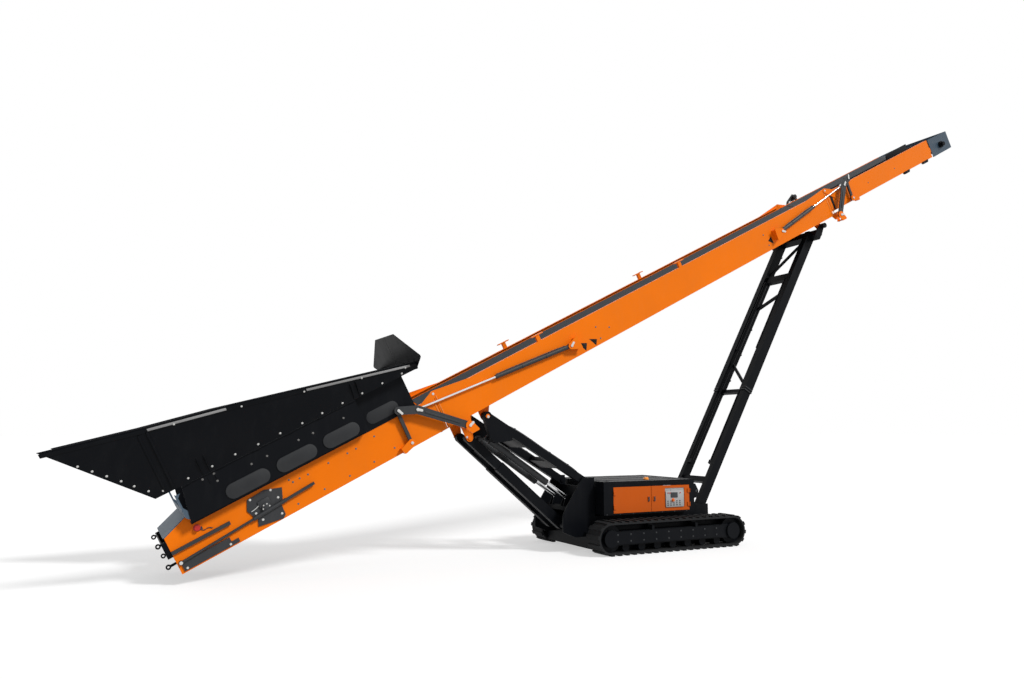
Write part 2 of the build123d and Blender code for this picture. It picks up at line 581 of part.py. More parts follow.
with BuildPart() as mid_sides:
    for side in SIDES:
        section_side(side, [(MID_START_S, 0), (MID_END_S, 0), (MID_END_S, MID_TOP_T), (MID_START_S, MID_TOP_T)],
                     0, MID_TOP_T)
        band = y_band(side, PLATE_Y - PLATE_T, PLATE_Y)
        for hinge, inward in ((TAIL_HINGE, 1), (HEAD_HINGE, -1)):
            lug(belt_side, hinge, HINGE_LUG_R, [(hinge[0] + inward * HINGE_RAMP, MID_TOP_T - 20),
                                                (hinge[0] + inward * 60, MID_TOP_T - 60)], *band)
            disc(belt_side, hinge, HINGE_PIN_R + FIT, *y_band(side, PLATE_Y - PLATE_T, PLATE_Y),
                 mode=Mode.SUBTRACT)
        link_foot_plate(side, TAIL_LINK)
        link_foot_plate(side, HEAD_LINK)
        under_y = LOWER_Y + LOWER_W / 2 + ARM_SIDE_GAP
        for pin, reach, lug_y, pin_y in ((ARM_BOSS, 90, BOSS_LUG_Y, ARM_Y + ARM_W / 2 + PIN_REACH),
                                         (ARM_UNDER, 80, under_y, under_y + BOSS_LUG_T + PIN_REACH)):
            lug(belt_side, pin, reach, [(pin[0] - 60, CROSS_T), (pin[0] + 260, CROSS_T)],
                *y_band(side, lug_y, lug_y + BOSS_LUG_T))
            disc(belt_side, pin, LIFT_PIN_R, *y_band(side, lug_y, pin_y))
        lug(belt_side, LEG_HEAD, 70, [(LEG_HEAD[0] - 130, CROSS_T / 2), (LEG_HEAD[0] + 130, CROSS_T / 2)],
            *y_band(side, LEG_LUG_Y, LEG_LUG_Y + BOSS_LUG_T))
        disc(belt_side, LEG_HEAD, 36, *y_band(side, LEG_LUG_Y, LEG_PIN_END_Y))
    inside = PLATE_Y - PLATE_T
    for s0, s1 in ((ARM_UNDER[0] - 100, ARM_BOSS[0] + 300), (LEG_HEAD[0] - 150, LEG_HEAD[0] + 150)):
        block(belt_side, s0, s1, 0, CROSS_T, -inside, inside)
finish(mid_sides, "mid_sides")

# Lugs outside the mid section's side plates, for the fold links' feet and the fold cylinders' anchors
with BuildPart() as fold_lugs:
    for side in SIDES:
        for link, away in ((TAIL_LINK, 1), (HEAD_LINK, -1)):
            link_foot_lug(side, link)
            anchor_lug(side, link, away)
finish(fold_lugs, "fold_lugs")

with BuildPart() as head_sides:
    for side in SIDES:
        section_side(side, [(HEAD_START_S, HEAD_BOT_T), (HEAD_END_S, HEAD_BOT_T), (HEAD_END_S, HEAD_TOP_T),
                            (HEAD_START_S, HEAD_TOP_T)], HEAD_BOT_T, HEAD_TOP_T)
        lug(belt_side, HEAD_HINGE, HINGE_LUG_R, [(HEAD_HINGE[0] + 420, HEAD_TOP_T - 60),
                                                 (HEAD_HINGE[0] + 300, HEAD_TOP_T - 230)],
            *y_band(side, LUG_Y0, LUG_Y0 + HINGE_LUG_T))
        slab(belt_side, [(HEAD_HINGE[0] + 420, HEAD_TOP_T - 100), (HEAD_HINGE[0] + 300, HEAD_TOP_T - 240),
                         (HEAD_HINGE[0] + 150, HEAD_TOP_T - 140), (HEAD_HINGE[0] + 150, HEAD_TOP_T - 30),
                         (HEAD_HINGE[0] + 400, HEAD_TOP_T - 30)], *y_band(side, PLATE_Y, LUG_Y0))
        disc(belt_side, HEAD_HINGE, HINGE_PIN_R, *y_band(side, PLATE_Y - PLATE_T - 6, LUG_Y0))
        strut_lug(side, HEAD_LINK, 1)
        block(belt_side, HEAD_END_S, HEAD_DRUM_S + 60, DRUM_T - 70, DRUM_T + 70,
              *y_band(side, PLATE_Y - PLATE_T, PLATE_Y))
finish(head_sides, "head_sides")


# Idlers: a cross bar between the plates with three trough rollers on brackets
BELT_LOW = DRUM_T + DRUM_R
WING_Y = BELT_FLAT + BELT_WING * cos(radians(TROUGH_ANGLE))
WING_RISE = BELT_WING * sin(radians(TROUGH_ANGLE))
RETURN_TOP = DRUM_T - DRUM_R
ROLLER_GAP = 0.3
WING_START = 40.0
BAR_T0 = BELT_LOW - ROLLER_GAP - 2 * IDLER_R - 30 - IDLER_BAR


def idler_set(s):
    """One trough idler at s: bar, brackets and three rollers in one piece."""
    inside = PLATE_Y - PLATE_T
    block(belt_side, s - IDLER_BAR / 2, s + IDLER_BAR / 2, BAR_T0, BAR_T0 + IDLER_BAR, -inside, inside)
    level = BELT_LOW - ROLLER_GAP - IDLER_R
    disc(belt_side, (s, level), IDLER_R, -BELT_FLAT + 10, BELT_FLAT - 10)
    for side in SIDES:
        tilt = radians(TROUGH_ANGLE)
        drop = IDLER_R + ROLLER_GAP
        start_y = BELT_FLAT + WING_START * cos(tilt) + drop * sin(tilt)
        start_t = BELT_LOW + WING_START * sin(tilt) - drop * cos(tilt)
        x, z = ground(s, start_t)
        wing_dir = Vector(-sin(tilt) * sin(SLOPE), side * cos(tilt), sin(tilt) * cos(SLOPE))
        axis = Plane(origin=(x, side * start_y, z), x_dir=belt_cross(s).z_dir, z_dir=wing_dir)
        with BuildSketch(axis) as face:
            Circle(IDLER_R)
        extrude(face.sketch, amount=BELT_WING - 2 * WING_START)
        with BuildSketch(belt_cross(s - 8)) as web:
            with BuildLine():
                Polyline((side * (BELT_FLAT - 20), BAR_T0 + 5), (side * (inside - 30), BAR_T0 + 5),
                         (side * (inside - 30), level + 120), (side * (WING_Y - 90), level + 110),
                         (side * (BELT_FLAT - 20), level + 10), close=True)
            make_face()
        extrude(web.sketch, amount=16)


def idler_rows(s0, s1):
    """Even places between two ends, about one pitch apart."""
    count = ceil((s1 - s0) / IDLER_PITCH)
    return [s0 + (index + 0.5) * (s1 - s0) / count for index in range(count)]


for name, s0, s1 in (("tail_idlers", 1000.0, TAIL_END_S), ("mid_idlers", MID_START_S, MID_END_S),
                     ("head_idlers", HEAD_START_S, HEAD_END_S - 300)):
    with BuildPart() as idlers:
        for s in idler_rows(s0, s1):
            idler_set(s)
    finish(idlers, name)

with BuildPart() as return_rollers:
    for s in (7100.0, 10300.0, 13500.0, 16700.0):
        disc(belt_side, (s, RETURN_TOP - BELT_T - ROLLER_GAP - RETURN_R), RETURN_R, -620, 620)
        disc(belt_side, (s, RETURN_TOP - BELT_T - ROLLER_GAP - RETURN_R), 16, -PLATE_Y + PLATE_T, PLATE_Y - PLATE_T)
finish(return_rollers, "mid_return_rollers")


# Belt: one piece on each section, troughed on top and flat below, wrapped round the end drums

def trough_points(rise):
    """Outline of the belt's upper run, with its wings raised by a share of the full trough."""
    edge = BELT_LOW + rise * WING_RISE
    reach = WING_Y + (1 - rise) * (BELT_FLAT + BELT_WING - WING_Y)
    return [(-reach, edge), (-BELT_FLAT, BELT_LOW), (BELT_FLAT, BELT_LOW), (reach, edge),
            (reach, edge + BELT_T), (BELT_FLAT, BELT_LOW + BELT_T), (-BELT_FLAT, BELT_LOW + BELT_T),
            (-reach, edge + BELT_T)]


def trough_face(s, rise):
    """The belt's cross section at s."""
    with BuildSketch(belt_cross(s)) as face:
        with BuildLine():
            Polyline(*trough_points(rise), close=True)
        make_face()
    return face.sketch


def upper_run(s0, s1):
    """The troughed run between two places."""
    extrude(trough_face(s0, 1.0), amount=s1 - s0)


def lower_run(s0, s1):
    """The flat return run between two places."""
    block(belt_side, s0, s1, RETURN_TOP - BELT_T, RETURN_TOP, -BELT_FLAT - BELT_WING, BELT_FLAT + BELT_WING)


def drum_wrap(drum_s, to_head):
    """The half turn round an end drum."""
    half = BELT_FLAT + BELT_WING
    with BuildSketch(belt_side(half)) as face:
        with Locations((drum_s, DRUM_T)):
            Circle(DRUM_R + BELT_T)
            Circle(DRUM_R, mode=Mode.SUBTRACT)
        with Locations((drum_s - to_head * 500, DRUM_T)):
            Rectangle(1000, 1000, mode=Mode.SUBTRACT)
    extrude(face.sketch, amount=2 * half)


with BuildPart() as tail_belt:
    upper_run(TAIL_DRUM_S + TRANSITION, TAIL_SEAM_S - BELT_SEAM_GAP / 2)
    loft([trough_face(TAIL_DRUM_S, 0.0), trough_face(TAIL_DRUM_S + TRANSITION, 1.0)], ruled=True)
    drum_wrap(TAIL_DRUM_S, -1)
    lower_run(TAIL_DRUM_S, TAIL_SEAM_S - BELT_SEAM_GAP / 2)
finish(tail_belt, "tail_belt")

with BuildPart() as mid_belt:
    upper_run(TAIL_SEAM_S + BELT_SEAM_GAP / 2, HEAD_SEAM_S - BELT_SEAM_GAP / 2)
    lower_run(TAIL_SEAM_S + BELT_SEAM_GAP / 2, HEAD_SEAM_S - BELT_SEAM_GAP / 2)
finish(mid_belt, "mid_belt")

with BuildPart() as head_belt:
    upper_run(HEAD_SEAM_S + BELT_SEAM_GAP / 2, HEAD_DRUM_S - TRANSITION)
    loft([trough_face(HEAD_DRUM_S - TRANSITION, 1.0), trough_face(HEAD_DRUM_S, 0.0)], ruled=True)
    drum_wrap(HEAD_DRUM_S, 1)
    lower_run(HEAD_SEAM_S + BELT_SEAM_GAP / 2, HEAD_DRUM_S)
finish(head_belt, "head_belt")

DRUM_BORE = DRUM_R - PIN_GAP
for name, drum_s in (("tail_drum", TAIL_DRUM_S), ("head_drum", HEAD_DRUM_S)):
    with BuildPart() as drum:
        disc(belt_side, (drum_s, DRUM_T), DRUM_BORE, -DRUM_LEN / 2, DRUM_LEN / 2)
        disc(belt_side, (drum_s, DRUM_T), SHAFT_R, -PLATE_Y + PLATE_T + 20, PLATE_Y - PLATE_T - 20)
    finish(drum, name)

# Drum bearings inside the side plates, split between tail and head
BEARING_R = 90.0
BEARING_W = 60.0
for name, drum_s in (("tail_bearings", TAIL_DRUM_S), ("head_bearings", HEAD_DRUM_S)):
    with BuildPart() as bearings:
        for side in SIDES:
            inner = PLATE_Y - PLATE_T - BEARING_W
            disc(belt_side, (drum_s, DRUM_T), BEARING_R, *y_band(side, inner, PLATE_Y - PLATE_T))
            disc(belt_side, (drum_s, DRUM_T), SHAFT_R + PIN_GAP, *y_band(side, inner, PLATE_Y - PLATE_T - 15),
                 mode=Mode.SUBTRACT)
    finish(bearings, name)

# Head guard: folded cover over the head drum, open below and towards the belt
GUARD_T0, GUARD_T1 = 100.0, 655.0
with BuildPart() as head_guard:
    for side in SIDES:
        slab(belt_side, [(HEAD_END_S + 40, GUARD_T0), (GUARD_END_S, GUARD_T0 + 10), (GUARD_END_S, GUARD_T1 - 20),
                         (HEAD_END_S + 40, GUARD_T1)], *y_band(side, PLATE_Y, PLATE_Y + 8))
    block(belt_side, GUARD_END_S - 8, GUARD_END_S, GUARD_T1 - 260, GUARD_T1 - 20, -PLATE_Y, PLATE_Y)
finish(head_guard, "head_guard")

with BuildPart() as drum_motors:
    for side in SIDES:
        disc(belt_side, (HEAD_DRUM_S, DRUM_T), 95, *y_band(side, PLATE_Y + 8, PLATE_Y + 60))
        disc(belt_side, (HEAD_DRUM_S, DRUM_T), 60, *y_band(side, PLATE_Y + 60, PLATE_Y + 130))
finish(drum_motors, "drum_motors")

# Tail end: hood over the drum with the hopper's back wall, tension slides, drive plates, hooks and siren
HOOD_T = 12.0
BACK_WALL_TOP_T = 1290.0
# Notch in the back wall, which clears the mid section when the tail is folded
BACK_NOTCH_Y = 915.0
BACK_NOTCH_T = 1020.0
BACK_FLANGE = 80.0

with BuildPart() as tail_hood:
    slab(belt_side, [(0, TAIL_TOP_T), HOOD_TOP, (HOOD_TOP[0], HOOD_TOP[1] + HOOD_T), (-20, TAIL_TOP_T + HOOD_T)],
         -PLATE_Y, PLATE_Y)
    inside = SKIRT_Y - SKIRT_T - 2
    with BuildSketch(belt_cross(HOOD_TOP[0] - HOOD_T)) as back_wall:
        with BuildLine():
            Polyline((-inside, HOOD_TOP[1]), (inside, HOOD_TOP[1]), (inside, BACK_WALL_TOP_T),
                     (BACK_NOTCH_Y, BACK_WALL_TOP_T), (BACK_NOTCH_Y, BACK_NOTCH_T), (-BACK_NOTCH_Y, BACK_NOTCH_T),
                     (-BACK_NOTCH_Y, BACK_WALL_TOP_T), (-inside, BACK_WALL_TOP_T), close=True)
        make_face()
    extrude(back_wall.sketch, amount=HOOD_T)
    for side in SIDES:
        slab(belt_side, [(HOOD_TOP[0] - HOOD_T, HOOD_TOP[1]), (HOOD_TOP[0] + BACK_FLANGE, SKIRT_BOT_T + 20),
                         (HOOD_TOP[0] + BACK_FLANGE, HOOD_TOP[1] + 80), (HOOD_TOP[0] + 20, HOOD_TOP[1] + 180),
                         (HOOD_TOP[0] + 20, BACK_WALL_TOP_T - 60), (HOOD_TOP[0] + BACK_FLANGE, BACK_WALL_TOP_T),
                         (HOOD_TOP[0] - HOOD_T, BACK_WALL_TOP_T)], *y_band(side, inside - HOOD_T, inside))
finish(tail_hood, "tail_hood")

# Belt tensioning gear on each side: slide bar, slide plate, screw tube with its bar, and drive plates
SLIDE_BAR = (0.0, 1045.0, 378.0, 439.0)
SLIDE_PLATE = ((60.0, 25.0), (1060.0, 25.0), (1060.0, 95.0), (930.0, 95.0), (930.0, 180.0), (60.0, 180.0))
SCREW_Y = PLATE_Y + 52.0
SCREW_START, SCREW_END = (62.0, 197.0), (2640.0, 325.0)
# Along the screw from its start: distance from, distance to, radius
SCREW_PARTS = ((0.0, 1360.0, 24.0), (1355.0, 2000.0, 38.0))
SCREW_BAR_HALF = 25.0
DRIVE_PLATES = (((1379.0, 440.0), (1461.0, 620.0), (1794.0, 640.0), (2096.0, 530.0), (2019.0, 330.0), (1440.0, 290.0)),
                ((1440.0, 95.0), (1500.0, 250.0), (1960.0, 280.0), (1951.0, 60.0), (1889.0, 10.0)))
DRIVE_PLATE_T = 20.0
SLIDE_OUT = 60.0

with BuildPart() as tension_gear:
    screw = line_side(ground(*SCREW_START), ground(*SCREW_END))
    screw_len = hypot(SCREW_END[0] - SCREW_START[0], SCREW_END[1] - SCREW_START[1])
    for side in SIDES:
        block(belt_side, *SLIDE_BAR, *y_band(side, PLATE_Y, PLATE_Y + SLIDE_OUT))
        slab(belt_side, SLIDE_PLATE, *y_band(side, PLATE_Y, PLATE_Y + DRIVE_PLATE_T))
        for outline in DRIVE_PLATES:
            slab(belt_side, outline, *y_band(side, PLATE_Y, PLATE_Y + DRIVE_PLATE_T))
        for start, end, radius in SCREW_PARTS:
            round_bar(screw, side * SCREW_Y, 0, start, end, radius)
        block(screw, SCREW_PARTS[-1][1], screw_len, -SCREW_BAR_HALF, SCREW_BAR_HALF,
              *y_band(side, SCREW_Y - SCREW_BAR_HALF, SCREW_Y + SCREW_BAR_HALF))
        disc(belt_side, SCREW_START, 34, *y_band(side, PLATE_Y, SCREW_Y + 34))
finish(tension_gear, "tension_gear")

# Tow hooks on an end plate and an inner cross plate
HOOK_S = -140.0
HOOK_R, HOOK_BORE_R = 45.0, 20.0
HOOK_Y = (680.0, 720.0)
# Height of a hook and how far along its bar reaches
HOOKS = ((600.0, -70.0), (200.0, 60.0))
END_PLATE_BAND = (340.0, 640.0)

with BuildPart() as tow_hooks:
    block(belt_side, -90, -70, *END_PLATE_BAND, -PLATE_Y, PLATE_Y)
    block(belt_side, 60, 120, PLATE_T, 420, -PLATE_Y + PLATE_T, PLATE_Y - PLATE_T)
    for side in SIDES:
        block(belt_side, -90, 0, *END_PLATE_BAND, *y_band(side, PLATE_Y - 2 * PLATE_T, PLATE_Y))
        for t, bar_end in HOOKS:
            band = y_band(side, *HOOK_Y)
            block(belt_side, HOOK_S, bar_end, t - 20, t + 20, *band)
            disc(belt_side, (HOOK_S, t), HOOK_R, *band)
            disc(belt_side, (HOOK_S, t), HOOK_BORE_R, *band, mode=Mode.SUBTRACT)
finish(tow_hooks, "tow_hooks")

SIREN = (531.0, 601.0)
with BuildPart() as siren:
    disc(belt_side, SIREN, 45, -PLATE_Y - 70, -PLATE_Y)
    disc(belt_side, SIREN, 60, -PLATE_Y - 20, -PLATE_Y)
finish(siren, "siren")

# Hopper: skirts beside the tail's belt, on a ledge that stands clear of the fold gear
LEDGE_T = TAIL_TOP_T + SKIRT_T
HINGE_Y = SKIRT_Y + 20.0
HINGE_ROD_R = 9.0
KNUCKLE_R = 17.0
KNUCKLE_LEN = 130.0
KNUCKLES = 6
HINGE_S0 = SKIRT_S0 + SKIRT_RAKE
INNER_Y = PLATE_Y + 5.0
# Rounded wear pads on the skirt: ends of the middle line, radius, height and thickness
PADS = ((1317.0, 1853.0), (2276.0, 2781.0), (3204.0, 3672.0))
PAD_R = 140.0
PAD_T = SKIRT_BOT_T + 160.0
PAD_OUT = 12.0


def lengthwise_rod(side, s0, s1, radius, mode=Mode.ADD):
    """A round bar along the hopper's hinge line."""
    with BuildSketch(belt_cross(s0)) as face:
        with Locations((side * HINGE_Y, SKIRT_TOP_T)):
            Circle(radius)
    extrude(face.sketch, amount=s1 - s0, mode=mode)


def knuckle_starts():
    """Where the flap's hinge knuckles begin along the conveyor."""
    pitch = (SKIRT_STEP_S - HINGE_S0 - KNUCKLE_LEN) / (KNUCKLES - 1)
    return [HINGE_S0 + index * pitch for index in range(KNUCKLES)]


with BuildPart() as hopper_skirts:
    for side in SIDES:
        outer = y_band(side, SKIRT_Y - SKIRT_T, SKIRT_Y)
        inner = y_band(side, INNER_Y, INNER_Y + INNER_SKIRT_T)
        slab(belt_side, [(SKIRT_S0, SKIRT_BOT_T), (SKIRT_STEP_S, SKIRT_BOT_T), (SKIRT_STEP_S, SKIRT_TOP_T),
                         (HINGE_S0, SKIRT_TOP_T)], *outer)
        block(belt_side, SKIRT_S0, SKIRT_STEP_S, SKIRT_BOT_T, SKIRT_BOT_T + SKIRT_T,
              *y_band(side, INNER_Y, SKIRT_Y - SKIRT_T))
        block(belt_side, SKIRT_S0, SKIRT_S1, TAIL_TOP_T, SKIRT_BOT_T + SKIRT_T, *inner)
        block(belt_side, SKIRT_STEP_S - 60, SKIRT_S1, TAIL_TOP_T, SKIRT_TOP_T, *inner)
        block(belt_side, SKIRT_S0 + 80, SKIRT_S1, TAIL_TOP_T, LEDGE_T, *y_band(side, PLATE_Y - LIP_W, INNER_Y))
        block(belt_side, HINGE_S0, SKIRT_STEP_S, SKIRT_TOP_T - SKIRT_T, SKIRT_TOP_T,
              *y_band(side, SKIRT_Y, HINGE_Y - HINGE_ROD_R + 2))
        for start, end in PADS:
            for s in (start, end):
                disc(belt_side, (s, PAD_T), PAD_R, *y_band(side, SKIRT_Y, SKIRT_Y + PAD_OUT))
            block(belt_side, start, end, PAD_T - PAD_R, PAD_T + PAD_R, *y_band(side, SKIRT_Y, SKIRT_Y + PAD_OUT))
        for s in knuckle_starts():
            lengthwise_rod(side, s - PIN_GAP, s + KNUCKLE_LEN + PIN_GAP, KNUCKLE_R + PIN_GAP + 3, mode=Mode.SUBTRACT)
        lengthwise_rod(side, HINGE_S0, SKIRT_STEP_S, HINGE_ROD_R)
finish(hopper_skirts, "hopper_skirts")


def flap_plane(side):
    """Plane of a flared side: sketch x is s, sketch y is the way up the flare from the hinge line."""
    lean = radians(FLARE)
    x_dir = Vector(cos(SLOPE), 0, sin(SLOPE))
    up = Vector(-sin(SLOPE) * cos(lean), side * sin(lean), cos(SLOPE) * cos(lean))
    x, z = ground(0, SKIRT_TOP_T)
    return Plane(origin=(x, side * HINGE_Y, z), x_dir=x_dir, z_dir=x_dir.cross(up))


def rise(t):
    """The way up the flare that reaches a given height."""
    return (t - SKIRT_TOP_T) / cos(radians(FLARE))


for side, name in ((NEAR, "hopper_flap_near"), (FAR, "hopper_flap_far")):
    with BuildPart() as flap:
        with BuildSketch(flap_plane(side)) as face:
            with BuildLine():
                Polyline((FLAP_FOOT_S, FLAP_FOOT_RISE), (END_PLATE_S, FLAP_FOOT_RISE),
                         *[(s, rise(t)) for s, t in FLAP_RIM], close=True)
            make_face()
        extrude(face.sketch, amount=-side * SKIRT_T)
        for s in knuckle_starts():
            lengthwise_rod(side, s, s + KNUCKLE_LEN, KNUCKLE_R)
            with BuildSketch(flap_plane(side)) as leaf:
                with BuildLine():
                    Polyline((s, 0), (s + KNUCKLE_LEN, 0), (s + KNUCKLE_LEN, FLAP_FOOT_RISE + 5),
                             (s, FLAP_FOOT_RISE + 5), close=True)
                make_face()
            extrude(leaf.sketch, amount=-side * SKIRT_T)
        for s in knuckle_starts():
            lengthwise_rod(side, s - 1, s + KNUCKLE_LEN + 1, HINGE_ROD_R + FIT, mode=Mode.SUBTRACT)
        with BuildSketch(belt_cross(END_PLATE_S)) as wall:
            with BuildLine():
                Polyline(*[(side * y, t) for y, t in END_PLATE], close=True)
            make_face()
        extrude(wall.sketch, amount=SKIRT_T)
    finish(flap, name)

# Transport rests on the mid section's top edges
with BuildPart() as transport_rests:
    for side in SIDES:
        for s in (8250.0, 12650.0):
            block(belt_side, s - 45, s + 45, MID_TOP_T, MID_TOP_T + 130, *y_band(side, PLATE_Y - 60, PLATE_Y))
            block(belt_side, s - 150, s + 150, MID_TOP_T + 130, MID_TOP_T + 150, *y_band(side, PLATE_Y - 75, PLATE_Y + 15))
finish(transport_rests, "transport_rests")


# Fold linkages: links, struts, cylinder barrels and rods on both sides

def fold_links(link):
    """The black bent links, near and far, pivoting on the mid section's lugs."""
    with BuildPart() as links:
        for side in SIDES:
            band = y_band(side, LINK_Y, LINK_Y + LINK_T)
            foot, rod, head = link["foot"], link["rod"], link["head"]
            with BuildSketch(belt_side(band[1])) as face:
                for centre, radius in ((foot, LINK_END_R - 10), (rod, LINK_END_R)):
                    with Locations(centre):
                        Circle(radius)
                make_hull()
            extrude(face.sketch, amount=LINK_T)
            with BuildSketch(belt_side(band[1])) as face:
                for centre, radius in ((rod, LINK_END_R), (head, LINK_END_R - 5)):
                    with Locations(centre):
                        Circle(radius)
                make_hull()
            extrude(face.sketch, amount=LINK_T)
            disc(belt_side, foot, LINK_PIN_R + FIT, *band, mode=Mode.SUBTRACT)
            for centre in (rod, head):
                disc(belt_side, centre, LINK_PIN_R, *y_band(side, LINK_Y + LINK_T, LINK_Y + LINK_T + 14))
    return links


def fold_struts(link):
    """The short struts from the folding section up to the link's head."""
    with BuildPart() as struts:
        for side in SIDES:
            band = y_band(side, CYLINDER_Y - EYE_W / 2, CYLINDER_Y + EYE_W / 2)
            foot, head = link["strut"], link["head"]
            slab(belt_side, bar_points(foot, head, 34), *band)
            disc(belt_side, foot, 62, *band)
            disc(belt_side, head, 62, *band)
            disc(belt_side, foot, LINK_PIN_R + FIT, *band, mode=Mode.SUBTRACT)
            disc(belt_side, head, 30, *y_band(side, CYLINDER_Y - EYE_W / 2 - 10, LINK_Y - 6))
    return struts


BARREL_START = 70.0
BORE_START = 110.0


def fold_barrels(link):
    """The cylinder barrels, with the eye at the anchor and a bore for the rod."""
    line = line_side(ground(*link["anchor"]), ground(*link["rod"]))
    with BuildPart() as barrels:
        for side in SIDES:
            eye = y_band(side, CYLINDER_Y - EYE_W / 2, CYLINDER_Y + EYE_W / 2)
            round_bar(line, side * CYLINDER_Y, 0, BARREL_START, link["barrel"], BARREL_R)
            disc(line, (0, 0), 62, *eye)
            block(line, 40, 90, -40, 40, *eye)
            disc(line, (0, 0), LINK_PIN_R + FIT, *eye, mode=Mode.SUBTRACT)
            round_bar(line, side * CYLINDER_Y, 0, BORE_START, link["barrel"] + 1, ROD_R + FIT, mode=Mode.SUBTRACT)
    return barrels


def fold_rods(link):
    """The cylinder rods, with the eye and pin that meet the link."""
    anchor, rod = link["anchor"], link["rod"]
    line = line_side(ground(*rod), ground(*anchor))
    length = hypot(rod[0] - anchor[0], rod[1] - anchor[1]) - link["barrel"] + ROD_LAP
    with BuildPart() as rods:
        for side in SIDES:
            eye = y_band(side, CYLINDER_Y - EYE_W / 2, CYLINDER_Y + EYE_W / 2)
            round_bar(line, side * CYLINDER_Y, 0, 30, length, ROD_R)
            disc(line, (0, 0), ROD_EYE_R, *eye)
            disc(line, (0, 0), 30, *y_band(side, CYLINDER_Y - EYE_W / 2 - 8, LINK_Y - 6))
    return rods


for prefix, link in (("tail", TAIL_LINK), ("head", HEAD_LINK)):
    finish(fold_links(link), f"{prefix}_fold_links")
    finish(fold_struts(link), f"{prefix}_fold_struts")
    finish(fold_barrels(link), f"{prefix}_fold_barrels")
    finish(fold_rods(link), f"{prefix}_fold_rods")

# Lift linkage: upper arms, lower arms and the pair of lift cylinders
BOSS_XZ = ground(*ARM_BOSS)
UNDER_XZ = ground(*ARM_UNDER)
ARM_EYE_R = 100.0


def cross_bar(line, distance, half, reach, span):
    """A cross piece between a pair of arms, at a distance up them."""
    block(line, distance - reach, distance + reach, -half, half, -span, span)


UPPER_LEN = hypot(BOSS_XZ[0] - UPPER_FOOT[0], BOSS_XZ[1] - UPPER_FOOT[1])
upper_side = line_side(UPPER_FOOT, BOSS_XZ)

with BuildPart() as upper_arms:
    plate = [(BOSS_XZ[0] - 70, BOSS_XZ[1] - 40), (LIFT_HEAD[0] - 90, LIFT_HEAD[1] + 20),
             (LIFT_HEAD[0] + 20, LIFT_HEAD[1] - 90), (LIFT_HEAD[0] + 420, LIFT_HEAD[1] - 40),
             (BOSS_XZ[0] + 620, BOSS_XZ[1] - 320), (BOSS_XZ[0] + 70, BOSS_XZ[1] + 30)]
    for side in SIDES:
        band = y_band(side, ARM_Y - ARM_W / 2, ARM_Y + ARM_W / 2)
        block(upper_side, 0, UPPER_LEN, -85, 85, *band)
        slab(level_side, plate, *band)
        for distance in (0, UPPER_LEN):
            disc(upper_side, (distance, 0), ARM_EYE_R, *band)
        for distance in (0, UPPER_LEN):
            disc(upper_side, (distance, 0), LIFT_PIN_R + FIT, *band, mode=Mode.SUBTRACT)
    for distance in (0.30 * UPPER_LEN, 0.62 * UPPER_LEN):
        cross_bar(upper_side, distance, 50, 160, ARM_Y - ARM_W / 2)
    disc(level_side, LIFT_HEAD, CYLINDER_PIN_R, -ARM_Y + ARM_W / 2, ARM_Y - ARM_W / 2)
finish(upper_arms, "upper_arms")

# Lower arms: an outer box on the base and an inner box that slides out to the conveyor's pin
LOWER_LEN = hypot(UNDER_XZ[0] - LOWER_FOOT[0], UNDER_XZ[1] - LOWER_FOOT[1])
LOWER_EYE_R = 95.0
lower_side = line_side(LOWER_FOOT, UNDER_XZ)

with BuildPart() as lower_arms:
    for side in SIDES:
        band = y_band(side, LOWER_Y - LOWER_W / 2, LOWER_Y + LOWER_W / 2)
        hollow = y_band(side, LOWER_Y - LOWER_W / 2 + BOX_TUBE_WALL, LOWER_Y + LOWER_W / 2 - BOX_TUBE_WALL)
        mouth = y_band(side, LOWER_Y - LOWER_IN_W / 2 - PIN_GAP, LOWER_Y + LOWER_IN_W / 2 + PIN_GAP)
        block(lower_side, 0, LOWER_SPLIT, -LOWER_HALF, LOWER_HALF, *band)
        disc(lower_side, (0, 0), LOWER_HALF, *band)
        block(lower_side, 260, LOWER_SPLIT - MOUTH_LEN, -LOWER_HALF + BOX_TUBE_WALL, LOWER_HALF - BOX_TUBE_WALL, *hollow,
              mode=Mode.SUBTRACT)
        block(lower_side, LOWER_SPLIT - MOUTH_LEN - 1, LOWER_SPLIT + 1, -LOWER_IN_HALF - PIN_GAP,
              LOWER_IN_HALF + PIN_GAP, *mouth, mode=Mode.SUBTRACT)
        disc(lower_side, (0, 0), LIFT_PIN_R + FIT, *band, mode=Mode.SUBTRACT)
    for distance in (550, 1750):
        cross_bar(lower_side, distance, 45, 130, LOWER_Y - LOWER_W / 2)
finish(lower_arms, "lower_arms")

with BuildPart() as lower_arm_heads:
    for side in SIDES:
        band = y_band(side, LOWER_Y - LOWER_IN_W / 2, LOWER_Y + LOWER_IN_W / 2)
        eye = y_band(side, LOWER_Y - LOWER_W / 2, LOWER_Y + LOWER_W / 2)
        block(lower_side, LOWER_SPLIT - LOWER_LAP, LOWER_LEN, -LOWER_IN_HALF, LOWER_IN_HALF, *band)
        disc(lower_side, (LOWER_LEN, 0), LOWER_EYE_R, *eye)
        disc(lower_side, (LOWER_LEN, 0), LIFT_PIN_R, *y_band(side, LOWER_Y - LOWER_W / 2 - 12, LOWER_Y))
    cross_bar(lower_side, LOWER_LEN - 500, 45, 110, LOWER_Y - LOWER_IN_W / 2)
finish(lower_arm_heads, "lower_arm_heads")

# Lift cylinders: barrels under the upper arms, rods down to the base
LIFT_LEN = hypot(LIFT_HEAD[0] - LIFT_BASE[0], LIFT_HEAD[1] - LIFT_BASE[1])
LIFT_BARREL = 1750.0
LIFT_BARREL_R = 75.0
LIFT_ROD_R = 42.0
LIFT_LAP = 160.0
lift_side = line_side(LIFT_BASE, LIFT_HEAD)

